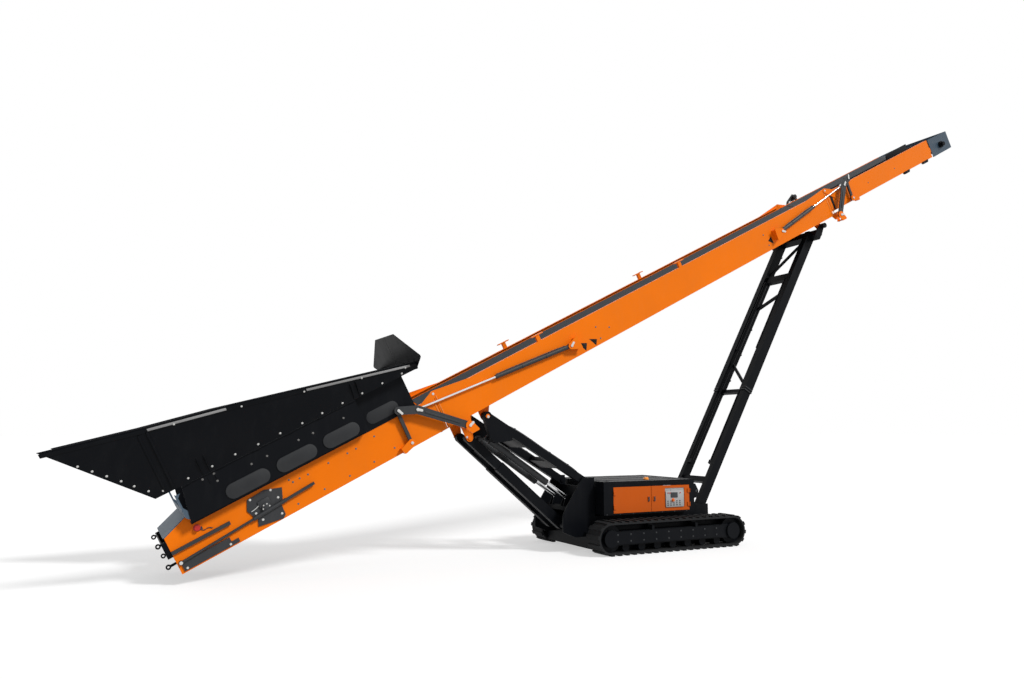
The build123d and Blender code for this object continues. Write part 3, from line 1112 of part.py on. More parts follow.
with BuildPart() as lift_barrels:
    for side in SIDES:
        eye = y_band(side, LIFT_Y - LIFT_EYE_HALF, LIFT_Y + LIFT_EYE_HALF)
        round_bar(lift_side, side * LIFT_Y, 0, LIFT_LEN - LIFT_BARREL, LIFT_LEN - 80, LIFT_BARREL_R)
        disc(lift_side, (LIFT_LEN, 0), LIFT_EYE_R, *eye)
        block(lift_side, LIFT_LEN - 100, LIFT_LEN - 40, -50, 50, *eye)
        disc(lift_side, (LIFT_LEN, 0), CYLINDER_PIN_R + PIN_GAP, *eye, mode=Mode.SUBTRACT)
        round_bar(lift_side, side * LIFT_Y, 0, LIFT_LEN - LIFT_BARREL - 1, LIFT_LEN - LIFT_BARREL + LIFT_LAP + 40,
                  LIFT_ROD_R + PIN_GAP, mode=Mode.SUBTRACT)
finish(lift_barrels, "lift_barrels")

with BuildPart() as lift_rods:
    for side in SIDES:
        eye = y_band(side, LIFT_Y - LIFT_EYE_HALF, LIFT_Y + LIFT_EYE_HALF)
        round_bar(lift_side, side * LIFT_Y, 0, 40, LIFT_LEN - LIFT_BARREL + LIFT_LAP, LIFT_ROD_R)
        disc(lift_side, (0, 0), LIFT_EYE_R, *eye)
        disc(lift_side, (0, 0), CYLINDER_PIN_R + PIN_GAP, *eye, mode=Mode.SUBTRACT)
finish(lift_rods, "lift_rods")

# Rear legs: lower box pair hinged on the base, upper sleeve pair sliding down over it
LEG_TOP = ground(*LEG_HEAD)
LEG_LEN = hypot(LEG_TOP[0] - LEG_FOOT[0], LEG_TOP[1] - LEG_FOOT[1])
TOP_BEAM = LEG_LEN - 190.0
leg_side = line_side(LEG_FOOT, LEG_TOP)
# Extension cylinders between the legs: y, place square to the leg, barrel ends and rod ends up the leg
EXTEND_Y = 360.0
EXTEND_UP = 70.0
EXTEND_BARREL = (4600.0, 6830.0)
EXTEND_BARREL_R = 48.0
EXTEND_ROD = (1250.0, 4750.0)
EXTEND_ROD_R = 28.0
BRACKET_HALF = 40.0

with BuildPart() as leg_inner:
    inside = LEG_Y - INNER_W / 2
    for side in SIDES:
        band = y_band(side, inside, LEG_Y + INNER_W / 2)
        block(leg_side, 0, LEG_SPLIT + LEG_LAP, -INNER_D / 2, INNER_D / 2, *band)
        disc(leg_side, (0, 0), LEG_EYE_R, *band)
        disc(leg_side, (0, 0), FOOT_PIN_R + FIT, *band, mode=Mode.SUBTRACT)
        block(leg_side, EXTEND_ROD[0] - 70, EXTEND_ROD[0] + 30, EXTEND_UP - BRACKET_HALF, EXTEND_UP + BRACKET_HALF,
              *y_band(side, EXTEND_Y - 30, inside))
        round_bar(leg_side, side * EXTEND_Y, EXTEND_UP, *EXTEND_ROD, EXTEND_ROD_R)
    block(leg_side, 700, 840, -60, 60, -inside, inside)
finish(leg_inner, "leg_inner")

SLEEVE_IN = LEG_Y - LEG_W / 2
# Diagonal braces: place up the leg and side of each end
BRACES = (((TOP_BEAM - 190, FAR), (TOP_BEAM - 1230, NEAR)), ((TOP_BEAM - 1920, FAR), (TOP_BEAM - 2440, NEAR)),
          ((LEG_SPLIT + 160, FAR), (LEG_SPLIT + 900, NEAR)))
BRACE_HALF = 45.0
HEAD_Y = (790.0, 940.0)
HEAD_CHEEK_Y = 840.0

with BuildPart() as leg_outer:
    for side in SIDES:
        band = y_band(side, SLEEVE_IN, LEG_Y + LEG_W / 2)
        hollow = y_band(side, SLEEVE_IN + BOX_TUBE_WALL, LEG_Y + LEG_W / 2 - BOX_TUBE_WALL)
        mouth = y_band(side, LEG_Y - INNER_W / 2 - PIN_GAP, LEG_Y + INNER_W / 2 + PIN_GAP)
        block(leg_side, LEG_SPLIT, TOP_BEAM, -LEG_D / 2, LEG_D / 2, *band)
        block(leg_side, LEG_SPLIT + MOUTH_LEN, LEG_HOLLOW_END, -LEG_D / 2 + BOX_TUBE_WALL, LEG_D / 2 - BOX_TUBE_WALL,
              *hollow, mode=Mode.SUBTRACT)
        block(leg_side, LEG_SPLIT - 1, LEG_SPLIT + MOUTH_LEN + 1, -INNER_D / 2 - PIN_GAP, INNER_D / 2 + PIN_GAP, *mouth,
              mode=Mode.SUBTRACT)
        disc(leg_side, (LEG_LEN, 0), 68, *y_band(side, *HEAD_Y))
        slab(leg_side, [(LEG_LEN, 68), (LEG_LEN, -68), (TOP_BEAM - 60, -110), (TOP_BEAM - 60, 110)],
             *y_band(side, HEAD_Y[0], HEAD_CHEEK_Y))
    block(leg_side, TOP_BEAM - 190, TOP_BEAM, -100, 100, -HEAD_CHEEK_Y, HEAD_CHEEK_Y)
    block(leg_side, TOP_BEAM - 1540, TOP_BEAM - 1330, -60, 60, -SLEEVE_IN, SLEEVE_IN)
    block(leg_side, LEG_SPLIT, LEG_SPLIT + 100, -100, 0, -SLEEVE_IN, SLEEVE_IN)
    level = leg_side(0)
    across = Plane(origin=level.origin - level.y_dir * 30, x_dir=level.x_dir, z_dir=level.y_dir)
    for start, end in BRACES:
        with BuildSketch(across) as brace:
            with BuildLine():
                first, last = (start[0], -start[1] * SLEEVE_IN), (end[0], -end[1] * SLEEVE_IN)
                Polyline((first[0] - BRACE_HALF, first[1]), (first[0] + BRACE_HALF, first[1]),
                         (last[0] + BRACE_HALF, last[1]), (last[0] - BRACE_HALF, last[1]), close=True)
            make_face()
        extrude(brace.sketch, amount=60)
    for side in SIDES:
        round_bar(leg_side, side * EXTEND_Y, EXTEND_UP, *EXTEND_BARREL, EXTEND_BARREL_R)
        for start in (EXTEND_BARREL[0] + 20, EXTEND_BARREL[1] - 130):
            block(leg_side, start, start + 80, EXTEND_UP - BRACKET_HALF, EXTEND_UP + BRACKET_HALF,
                  *y_band(side, EXTEND_Y, SLEEVE_IN))
        round_bar(leg_side, side * EXTEND_Y, EXTEND_UP, EXTEND_BARREL[0] - 1, EXTEND_BARREL[1] - 20, EXTEND_ROD_R + FIT,
                  mode=Mode.SUBTRACT)
finish(leg_outer, "leg_outer")
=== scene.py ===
"""Looks of a tracked belt stacker conveyor with a folding tail and head.

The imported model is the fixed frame. The classes below dress it: each sub-assembly holds its sizes
in metres and builds its own small pieces, and each finish builds its own shader.
"""
from __future__ import annotations

import logging
import math
from collections.abc import Callable, Iterable
from dataclasses import dataclass, field
from enum import Enum
from functools import cached_property

import bpy
from mathutils import Matrix, Vector

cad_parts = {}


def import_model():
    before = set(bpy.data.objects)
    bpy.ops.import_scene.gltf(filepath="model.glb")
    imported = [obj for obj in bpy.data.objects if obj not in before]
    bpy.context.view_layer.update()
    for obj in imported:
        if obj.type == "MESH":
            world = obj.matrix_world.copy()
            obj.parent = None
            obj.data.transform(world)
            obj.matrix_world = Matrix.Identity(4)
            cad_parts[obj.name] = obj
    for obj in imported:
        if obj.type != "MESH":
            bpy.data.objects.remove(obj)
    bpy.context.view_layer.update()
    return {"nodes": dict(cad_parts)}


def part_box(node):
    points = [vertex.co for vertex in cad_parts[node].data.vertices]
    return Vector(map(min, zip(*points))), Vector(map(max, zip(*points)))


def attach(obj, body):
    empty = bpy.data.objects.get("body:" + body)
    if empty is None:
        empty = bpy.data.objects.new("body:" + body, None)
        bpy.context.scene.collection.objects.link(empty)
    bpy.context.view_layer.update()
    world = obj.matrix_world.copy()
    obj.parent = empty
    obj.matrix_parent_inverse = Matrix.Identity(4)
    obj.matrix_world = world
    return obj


log = logging.getLogger("stacker")

NEAR, FAR = -1, 1
SIDES = (NEAR, FAR)
Point = tuple[float, float, float]
Colour = tuple[float, float, float]


class Body(str, Enum):
    """The moving bodies that pieces ride on."""

    BASE = "base"
    MID = "mid_section"
    TAIL = "tail_section"
    HEAD = "head_section"
    FLAP_NEAR = "hopper_flap_near"
    FLAP_FAR = "hopper_flap_far"
    LEG_OUTER = "leg_outer"
    TAIL_LINKS = "tail_fold_links"
    TAIL_BARRELS = "tail_fold_barrels"
    HEAD_LINKS = "head_fold_links"
    HEAD_BARRELS = "head_fold_barrels"
    DOOR_NEAR_FRONT = "door_near_front"
    DOOR_NEAR_REAR = "door_near_rear"
    DOOR_FAR_FRONT = "door_far_front"
    DOOR_FAR_REAR = "door_far_rear"


@dataclass(frozen=True)
class Slant:
    """A slanting line in the machine's long upright plane: s runs along it, t is square to it, y is across."""

    x: float
    z: float
    slope: float

    def at(self, s: float, t: float, y: float = 0.0) -> Vector:
        """The point s along the line, t square to it and y across, in metres."""
        c, n = math.cos(self.slope), math.sin(self.slope)
        return Vector((self.x + s * c - t * n, y, self.z + s * n + t * c))

    def route(self, places: Iterable[tuple], y: float) -> list[Vector]:
        """The points of several s and t at one y."""
        return [self.at(s, t, y) for s, t in places]

    def basis(self) -> Matrix:
        """Rotation whose columns are the s, y and t directions."""
        c, n = math.cos(self.slope), math.sin(self.slope)
        return Matrix(((c, 0, -n), (0, 1, 0), (n, 0, c)))


LINE = Slant(0.4322 - 10.093, 0.198, math.radians(27.12))
LEG = Slant(1.8902, 0.780, math.atan2(0.866615, 0.498977))
ARM = Slant(-1.3178, 1.500, math.atan2(1.460, -2.450))
PLAIN = Matrix.Identity(3)


def outward(side: int) -> Vector:
    """The way out of a side."""
    return Vector((0.0, float(side), 0.0))


def turned(axis: Vector) -> Matrix:
    """Rotation that takes Z to an axis."""
    return axis.to_track_quat("Z", "Y").to_matrix()


class Val:
    """A shader socket that Python arithmetic works on."""

    def __init__(self, shader: "Shader", socket: bpy.types.NodeSocket | None) -> None:
        """Keep the socket with the shader that owns it."""
        self.shader = shader
        self.socket = socket

    def _math(self, operation: str, *values: "Val | float") -> "Val":
        """The result of one Math node on the values, in order."""
        return self.shader.node("ShaderNodeMath", {"operation": operation}, dict(enumerate(values)))

    def __add__(self, other: "Val | float") -> "Val":
        """Sum."""
        return self._math("ADD", self, other)

    __radd__ = __add__

    def __sub__(self, other: "Val | float") -> "Val":
        """Difference."""
        return self._math("SUBTRACT", self, other)

    def __rsub__(self, other: float) -> "Val":
        """Difference, reflected."""
        return self._math("SUBTRACT", other, self)

    def __mul__(self, other: "Val | float") -> "Val":
        """Product."""
        return self._math("MULTIPLY", self, other)

    __rmul__ = __mul__

    def clamp(self, low: float = 0.0, high: float = 1.0) -> "Val":
        """Keep the value between two limits."""
        return self._math("MINIMUM", self._math("MAXIMUM", self, low), high)


class Shader:
    """The node tree of a material or a world."""

    def __init__(self, owner: bpy.types.Material | bpy.types.World) -> None:
        """Start on its empty tree."""
        self.owner = owner
        owner.use_nodes = True
        self.tree = owner.node_tree
        self.tree.nodes.clear()

    @classmethod
    def material(cls, name: str) -> "Shader":
        """The tree of a new material."""
        return cls(bpy.data.materials.new(f"{name}_surface"))

    @cached_property
    def coords(self) -> Val:
        """Object coordinates."""
        return self.node("ShaderNodeTexCoord", {}, {}, "Object")

    @property
    def seen(self) -> Val:
        """One for camera, glossy and transmission rays, zero for the rest."""
        camera, glossy, through = (self.node("ShaderNodeLightPath", {}, {}, f"Is {kind} Ray")
                                   for kind in ("Camera", "Glossy", "Transmission"))
        return (camera + glossy + through).clamp()

    def node(self, kind: str, settings: dict, inputs: dict, output: int | str = 0) -> Val:
        """Add one node.

        Args:
            kind: the node's type.
            settings: its properties, set first.
            inputs: values or links by socket name or number.
            output: which output to return.

        Returns:
            That output; an output node has none.
        """
        node = self.tree.nodes.new(kind)
        for key, value in settings.items():
            setattr(node, key, value)
        for key, value in inputs.items():
            socket = node.inputs[key]
            if isinstance(value, Val):
                self.tree.links.new(value.socket, socket)
            else:
                socket.default_value = value
        return Val(self, node.outputs[output] if node.outputs else None)

    def noise(self, scale: float, detail: float = 4.0, rough: float = 0.55, source: Val | None = None) -> Val:
        """Noise of 0 to 1 on object coordinates or a source; the scale is grains per metre."""
        return self.node("ShaderNodeTexNoise", {}, {"Vector": source or self.coords, "Scale": scale,
                                                    "Detail": detail, "Roughness": rough})

    def ramp(self, value: Val, low: float, high: float) -> Val:
        """The value stretched and clamped, so that low becomes 0 and high becomes 1."""
        return ((value - low) * (1.0 / (high - low))).clamp()

    def mix(self, factor: Val | float, first: "Val | Colour", second: "Val | Colour") -> Val:
        """Two colours mixed; the factor is the share of the second."""
        ends = [c if isinstance(c, Val) else (*c, 1.0) for c in (first, second)]
        return self.node("ShaderNodeMix", {"data_type": "RGBA"}, {0: factor, 6: ends[0], 7: ends[1]}, 2)

    def stretched(self, along: float, across: float, up: float) -> Val:
        """Object coordinates scaled by axis, for streaks."""
        return self.node("ShaderNodeMapping", {}, {"Vector": self.coords, "Scale": (along, across, up)})

    def edges(self, width: float) -> Val:
        """A mask that is one on outside corners.

        Args:
            width: how far from the corner it reaches.

        Returns:
            The mask.
        """
        bevel = self.node("ShaderNodeBevel", {"samples": 4}, {"Radius": width})
        plain = self.node("ShaderNodeNewGeometry", {}, {}, "Normal")
        dot = self.node("ShaderNodeVectorMath", {"operation": "DOT_PRODUCT"}, {0: bevel, 1: plain}, "Value")
        return self.ramp(1.0 - dot, 0.02, 0.16)

    def bump(self, height: Val, strength: float, distance: float) -> Val:
        """A normal from a relief of 0 to 1 whose depth is in metres."""
        return self.node("ShaderNodeBump", {}, {"Strength": strength, "Distance": distance, "Height": height})

    def surface(self, **inputs: "Val | float | tuple") -> bpy.types.Material:
        """Close the tree with a principled surface.

        Args:
            inputs: socket names with spaces written as underscores.

        Returns:
            The finished material.
        """
        named = {key.replace("_", " "): value for key, value in inputs.items()}
        return self.close(self.node("ShaderNodeBsdfPrincipled", {}, named))

    def close(self, surface: Val) -> bpy.types.Material:
        """Join a surface to a material's output and return the material."""
        self.node("ShaderNodeOutputMaterial", {}, {"Surface": surface})
        return self.owner


@dataclass(frozen=True)
class Paint:
    """Sprayed machine paint: orange peel, dust that settles, and chipped edges."""

    name: str
    colour: Colour
    worn: Colour = (0.10, 0.10, 0.10)
    dust: Colour = (0.20, 0.18, 0.15)
    roughness: float = 0.35
    specular: float = 0.4
    wear: float = 0.35
    dusty: float = 0.08

    def build(self) -> bpy.types.Material:
        """Make the material."""
        g = Shader.material(self.name)
        cloud = g.noise(0.9, 5.0)
        fine = g.noise(38.0, 3.0)
        chips = g.ramp(g.noise(60.0, 4.0, 0.7), 0.52, 0.60) * g.edges(0.006) * self.wear
        streak = g.ramp(g.noise(3.0, 3.0, 0.6, g.stretched(2.0, 2.0, 0.35)), 0.5, 0.85)
        dust = (streak * 0.6 + g.ramp(cloud, 0.45, 0.8) * 0.4) * self.dusty
        darker = tuple(0.86 * c for c in self.colour)
        base = g.mix(g.ramp(cloud, 0.35, 0.7) * 0.6, self.colour, darker)
        base = g.mix(dust.clamp(), base, self.dust)
        base = g.mix(chips.clamp(), base, self.worn)
        peel = g.noise(420.0, 2.0) * 0.5 + fine * 0.5
        rough = (self.roughness + (fine - 0.5) * 0.10 + dust * 0.8 + chips * 0.2).clamp(0.08, 0.95)
        return g.surface(Base_Color=base, Roughness=rough, Normal=g.bump(peel, 0.10, 0.0015),
                         Specular_IOR_Level=self.specular)


@dataclass(frozen=True)
class Rubber:
    """Black rubber with a fine grain, paler where it rubs."""

    name: str
    colour: Colour = (0.012, 0.012, 0.013)
    rubbed: Colour = (0.045, 0.043, 0.040)
    roughness: float = 0.75
    grain: float = 220.0

    def build(self) -> bpy.types.Material:
        """Make the material."""
        g = Shader.material(self.name)
        scuff = g.ramp(g.noise(2.5, 5.0, 0.65), 0.48, 0.75)
        grain = g.noise(self.grain, 3.0, 0.7)
        base = g.mix(scuff * 0.5 + g.edges(0.008) * 0.35, self.colour, self.rubbed)
        rough = (self.roughness + (grain - 0.5) * 0.15 + scuff * 0.08).clamp(0.3, 1.0)
        return g.surface(Base_Color=base, Roughness=rough, Normal=g.bump(grain, 0.25, 0.002),
                         Specular_IOR_Level=0.3)


@dataclass(frozen=True)
class Steel:
    """Bare or plated steel with drawn lines."""

    name: str
    colour: Colour = (0.62, 0.62, 0.63)
    roughness: float = 0.22
    lines: float = 90.0
    stain: float = 0.15

    def build(self) -> bpy.types.Material:
        """Make the material."""
        g = Shader.material(self.name)
        drawn = g.noise(self.lines, 2.0, 0.5, g.stretched(0.15, 1.0, 1.0))
        spots = g.ramp(g.noise(9.0, 5.0, 0.6), 0.55, 0.8) * self.stain
        base = g.mix(spots, self.colour, (0.20, 0.15, 0.11))
        rough = (self.roughness + (drawn - 0.5) * 0.14 + spots * 0.4).clamp(0.08, 0.9)
        return g.surface(Base_Color=base, Metallic=1.0, Roughness=rough, Normal=g.bump(drawn, 0.12, 0.0008))


@dataclass(frozen=True)
class Plastic:
    """Moulded plastic with a faint texture."""

    name: str
    colour: Colour
    roughness: float = 0.4
    glow: float = 0.0

    def build(self) -> bpy.types.Material:
        """Make the material."""
        g = Shader.material(self.name)
        grain = g.noise(300.0, 2.0)
        shade = g.mix(g.ramp(g.noise(6.0, 3.0), 0.3, 0.8) * 0.3, self.colour, tuple(0.75 * c for c in self.colour))
        rough = (self.roughness + (grain - 0.5) * 0.1).clamp(0.05, 1.0)
        return g.surface(Base_Color=shade, Roughness=rough, Normal=g.bump(grain, 0.08, 0.001),
                         Emission_Color=(*self.colour, 1.0), Emission_Strength=self.glow)


class Finish(Enum):
    """Every finish on the machine."""

    ORANGE = Paint("orange_paint", (1.0, 0.205, 0.001), worn=(0.22, 0.05, 0.01), dust=(0.72, 0.26, 0.06),
                   roughness=0.36, specular=0.14, wear=0.5, dusty=0.12)
    # Painted shade: the doors carry the beam's orange paint, made darker here because the conveyor above keeps the
    # sun off them.
    DOOR = Paint("door_orange_shaded", (0.60, 0.098, 0.001), worn=(0.22, 0.05, 0.01), dust=(0.60, 0.26, 0.10),
                 roughness=0.4, specular=0.2, wear=0.4, dusty=0.08)
    BLACK = Paint("black_paint", (0.0035, 0.0042, 0.0058), worn=(0.05, 0.05, 0.05), dust=(0.035, 0.036, 0.038),
                  roughness=0.42, specular=0.07, wear=0.5, dusty=0.20)
    CHARCOAL = Paint("charcoal_paint", (0.030, 0.032, 0.035), worn=(0.12, 0.12, 0.12), dust=(0.10, 0.10, 0.10),
                     roughness=0.48, specular=0.3, wear=0.5, dusty=0.25)
    BLUE_GREY = Paint("blue_grey_paint", (0.090, 0.130, 0.175), worn=(0.2, 0.2, 0.2), roughness=0.45,
                      specular=0.10, dusty=0.05)
    SLATE = Paint("slate_paint", (0.034, 0.062, 0.094), worn=(0.15, 0.15, 0.15), roughness=0.4, specular=0.35,
                  dusty=0.15)
    ROLLER = Paint("roller_grey", (0.035, 0.036, 0.038), worn=(0.3, 0.3, 0.3), roughness=0.45, specular=0.4,
                   wear=0.6, dusty=0.3)
    ENGINE = Paint("engine_grey", (0.05, 0.052, 0.055), worn=(0.2, 0.2, 0.2), roughness=0.6, dusty=0.4)
    TRACK = Rubber("track_black", colour=(0.0035, 0.004, 0.005), rubbed=(0.016, 0.016, 0.017), roughness=0.8)
    BELT = Rubber("belt_rubber", colour=(0.020, 0.023, 0.028), rubbed=(0.055, 0.060, 0.066), roughness=0.6,
                  grain=150.0)
    PAD = Rubber("pad_rubber", colour=(0.014, 0.015, 0.017), rubbed=(0.034, 0.036, 0.038), roughness=0.65,
                 grain=120.0)
    ROD = Steel("rod_chrome", colour=(0.66, 0.67, 0.68), roughness=0.16, stain=0.08)
    ZINC = Steel("zinc_bolts", colour=(0.60, 0.60, 0.58), roughness=0.38, lines=200.0, stain=0.2)
    AMBER = Plastic("amber_lens", (0.90, 0.30, 0.02), 0.15, 0.2)
    RED = Plastic("siren_red", (0.55, 0.012, 0.008), 0.3)
    PANEL = Plastic("panel_grey", (0.42, 0.42, 0.42), 0.5)
    DISPLAY = Plastic("display_dark", (0.02, 0.025, 0.03), 0.15)
    KNOB = Plastic("knob_orange", (0.85, 0.16, 0.01), 0.3)
    WHITE = Paint("white_pins", (0.72, 0.72, 0.70), worn=(0.35, 0.33, 0.30), roughness=0.4, dusty=0.1)
    WORN = Paint("worn_edge", (0.16, 0.155, 0.15), worn=(0.4, 0.38, 0.35), roughness=0.5, dusty=0.2)
    SCRAPED = Paint("scraped_edge", (0.34, 0.34, 0.34), worn=(0.5, 0.48, 0.45), roughness=0.5, dusty=0.3)
    PALE_ORANGE = Paint("pale_orange", (0.90, 0.26, 0.03), worn=(0.35, 0.12, 0.03), roughness=0.4, dusty=0.15)
    SHADOW = Paint("shadow_black", (0.012, 0.009, 0.008), roughness=0.7, specular=0.1, dusty=0.05)
    # Painted sheen: the hoses are black rubber, and their grey base colour partly stands in for the sheen along them.
    HOSE_PALE = Rubber("hose_grey_sheen", colour=(0.085, 0.085, 0.088), rubbed=(0.30, 0.30, 0.30), roughness=0.4,
                       grain=300.0)

    @property
    def material(self) -> bpy.types.Material:
        """The finish's material, made on first use."""
        made = bpy.data.materials.get(f"{self.value.name}_surface")
        return made or self.value.build()


@dataclass
class CadFinishes:
    """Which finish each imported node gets."""

    groups: dict = field(default_factory=lambda: {
        Finish.ORANGE: ("mid_sides", "tail_sides", "head_sides", "transport_rests", "fold_lugs"),
        # The doors' finish is the orange with painted shade.
        Finish.DOOR: ("door_near_front", "door_near_rear", "door_far_front", "door_far_rear"),
        Finish.BLACK: ("track_frames", "base_frame", "power_enclosure", "upper_arms", "lower_arms",
                       "lower_arm_heads", "leg_outer", "leg_inner", "hopper_skirts", "hopper_flap_near",
                       "hopper_flap_far", "tow_hooks", "drum_motors"),
        Finish.CHARCOAL: ("tension_gear", "tail_fold_links", "tail_fold_struts", "tail_fold_barrels",
                          "head_fold_links", "head_fold_struts", "head_fold_barrels", "lift_barrels",
                          "tail_bearings", "head_bearings", "vent_grille"),
        Finish.BLUE_GREY: ("tail_hood",),
        Finish.SLATE: ("head_guard",),
        Finish.ROLLER: ("tail_idlers", "mid_idlers", "head_idlers", "mid_return_rollers", "tail_drum",
                        "head_drum"),
        Finish.ENGINE: ("engine_block",),
        Finish.TRACK: ("track_near", "track_far"),
        Finish.BELT: ("tail_belt", "mid_belt", "head_belt"),
        Finish.ROD: ("tail_fold_rods", "head_fold_rods", "lift_rods"),
        Finish.AMBER: ("beacon",),
        Finish.RED: ("siren",),
        Finish.PANEL: ("control_panel",),
    })

    def apply(self, nodes: dict[str, bpy.types.Object]) -> None:
        """Give every node its material.

        Args:
            nodes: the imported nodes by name.
        """
        for finish, names in self.groups.items():
            for name in names:
                node = nodes[name]
                node.data.materials.clear()
                node.data.materials.append(finish.material)
                log.info("node %s: %s", name, finish.name)


def linked(item: bpy.types.Object) -> bpy.types.Object:
    """Put an object in the scene and give it back."""
    bpy.context.scene.collection.objects.link(item)
    return item


class Bench:
    """Small solids are made here, joined to one piece and hung on a body."""

    def __init__(self, name: str, body: Body, finish: Finish) -> None:
        """Open an empty bench for one piece."""
        self.name, self.body, self.finish = name, body, finish
        self.solids: list[bpy.types.Object] = []
        self.screws: dict[float, bpy.types.Object] = {}

    @staticmethod
    def _add(primitive: Callable, **settings: int | float | str | tuple) -> bpy.types.Object:
        """Add a primitive with nothing else selected."""
        bpy.ops.object.select_all(action="DESELECT")
        primitive(**settings)
        return bpy.context.object

    def _keep(self, solid: bpy.types.Object, place: Vector, turn: Matrix) -> None:
        """Move and turn a solid to its place and keep it."""
        solid.matrix_world = Matrix.Translation(place) @ turn.to_4x4()
        self.solids.append(solid)

    @staticmethod
    def _soften(width: float, angle: float = 40.0, segments: int = 2) -> None:
        """Bevel the sharp edges of the active solid.

        Args:
            width: bevel width.
            angle: sharpness from which an edge is bevelled, in degrees.
            segments: bevel segments.
        """
        bpy.ops.object.mode_set(mode="EDIT")
        bpy.ops.mesh.select_mode(type="EDGE")
        bpy.ops.mesh.select_all(action="DESELECT")
        bpy.ops.mesh.edges_select_sharp(sharpness=math.radians(angle))
        bpy.ops.mesh.bevel(offset=width, segments=segments)
        bpy.ops.object.mode_set(mode="OBJECT")

    def block(self, centre: Vector, turn: Matrix, size: Point, bevel: float = 0.003) -> None:
        """A soft-edged block.

        Args:
            centre: its centre.
            turn: its axes as columns.
            size: its size along them.
            bevel: edge width.
        """
        solid = self._add(bpy.ops.mesh.primitive_cube_add, size=1.0)
        solid.scale = size
        bpy.ops.object.transform_apply(location=False, rotation=False, scale=True)
        self._soften(bevel)
        self._keep(solid, centre, turn)

    def bar(self, start: Vector, end: Vector, radius: float, sides: int = 20, bevel: float = 0.002) -> None:
        """A round bar between two points.

        Args:
            start: centre of one end.
            end: centre of the other.
            radius: its radius.
            sides: facets round it.
            bevel: end edge width.
        """
        axis = end - start
        solid = self._add(bpy.ops.mesh.primitive_cylinder_add, vertices=sides, radius=radius, depth=axis.length)
        self._soften(bevel)
        self._keep(solid, (start + end) / 2, turned(axis))

    def face(self, side: int, seat: Vector, rise: float, radius: float, sides: int, bevel: float) -> None:
        """A round face that stands out of a side by its rise."""
        self.bar(seat, seat + outward(side) * rise, radius, sides, bevel)

    def ring(self, centre: Vector, axis: Vector, radius: float, thick: float) -> None:
        """A band round a tube.

        Args:
            centre: its centre.
            axis: the tube's direction.
            radius: radius of its middle.
            thick: radius of its section.
        """
        solid = self._add(bpy.ops.mesh.primitive_torus_add, major_segments=32, minor_segments=8,
                          major_radius=radius, minor_radius=thick)
        bpy.ops.object.mode_set(mode="EDIT")
        bpy.ops.mesh.select_all(action="SELECT")
        bpy.ops.transform.resize(value=(1.0, 1.0, 3.0))
        bpy.ops.object.mode_set(mode="OBJECT")
        self._keep(solid, centre, turned(axis))

    def plate(self, outline: list[Vector], push: Vector, bevel: float = 0.002) -> None:
        """A flat plate from its outline.

        Args:
            outline: corners of one face.
            push: from that face to the other.
            bevel: edge width.
        """
        solid = self._add(bpy.ops.mesh.primitive_circle_add, vertices=len(outline), fill_type="NGON")
        for vertex, corner in zip(solid.data.vertices, outline):
            vertex.co = corner
        bpy.ops.object.mode_set(mode="EDIT")
        bpy.ops.mesh.select_all(action="SELECT")
        bpy.ops.mesh.extrude_region_move(TRANSFORM_OT_translate={"value": push})
        bpy.ops.mesh.select_all(action="SELECT")
        bpy.ops.mesh.normals_make_consistent(inside=False)
        bpy.ops.object.mode_set(mode="OBJECT")
        self._soften(bevel)
        self.solids.append(solid)

    def _screw(self, radius: float) -> bpy.types.Object:
        """The pattern of a hexagon screw on its washer, head up Z.

        Args:
            radius: washer radius.

        Returns:
            The pattern, made on first use.
        """
        if radius not in self.screws:
            cylinder = bpy.ops.mesh.primitive_cylinder_add
            washer = self._add(cylinder, vertices=20, radius=radius, depth=0.14 * radius,
                               location=(0, 0, 0.07 * radius))
            self._add(cylinder, vertices=6, radius=0.68 * radius, depth=0.36 * radius,
                      location=(0, 0, 0.30 * radius))
            self._soften(0.06 * radius, segments=1)
            washer.select_set(True)
            bpy.ops.object.join()
            bpy.ops.object.transform_apply()
            self.screws[radius] = bpy.context.object
        return self.screws[radius]

    def screw(self, place: Vector, outward: Vector, radius: float = 0.022) -> None:
        """A copy of the hexagon screw.

        Args:
            place: centre of its seat.
            outward: the way its head points.
            radius: washer radius.
        """
        pattern = self._screw(radius)
        copy = linked(pattern.copy())
        copy.data = pattern.data.copy()
        self._keep(copy, place, turned(outward))

    def row(self, places: Iterable[tuple], side: int, y: float, radius: float) -> None:
        """Screws on the belt line's s and t, heads out of a side."""
        for place in LINE.route(places, side * y):
            self.screw(place, outward(side), radius)

    def line(self, route: list[Vector], radius: float) -> None:
        """A pipe or clipped line on a smooth route.

        Args:
            route: its control points.
            radius: its radius.
        """
        curve = bpy.data.curves.new("route", "CURVE")
        curve.dimensions = "3D"
        spline = curve.splines.new("NURBS")
        spline.points.add(len(route) - 1)
        for point, place in zip(spline.points, route):
            point.co = (*place, 1.0)
        spline.order_u, spline.use_endpoint_u, spline.resolution_u = 3, True, 6
        curve.bevel_depth, curve.bevel_resolution, curve.use_fill_caps = radius, 2, True
        solid = linked(bpy.data.objects.new("route", curve))
        bpy.ops.object.select_all(action="DESELECT")
        solid.select_set(True)
        bpy.context.view_layer.objects.active = solid
        bpy.ops.object.convert(target="MESH")
        self.solids.append(bpy.context.object)

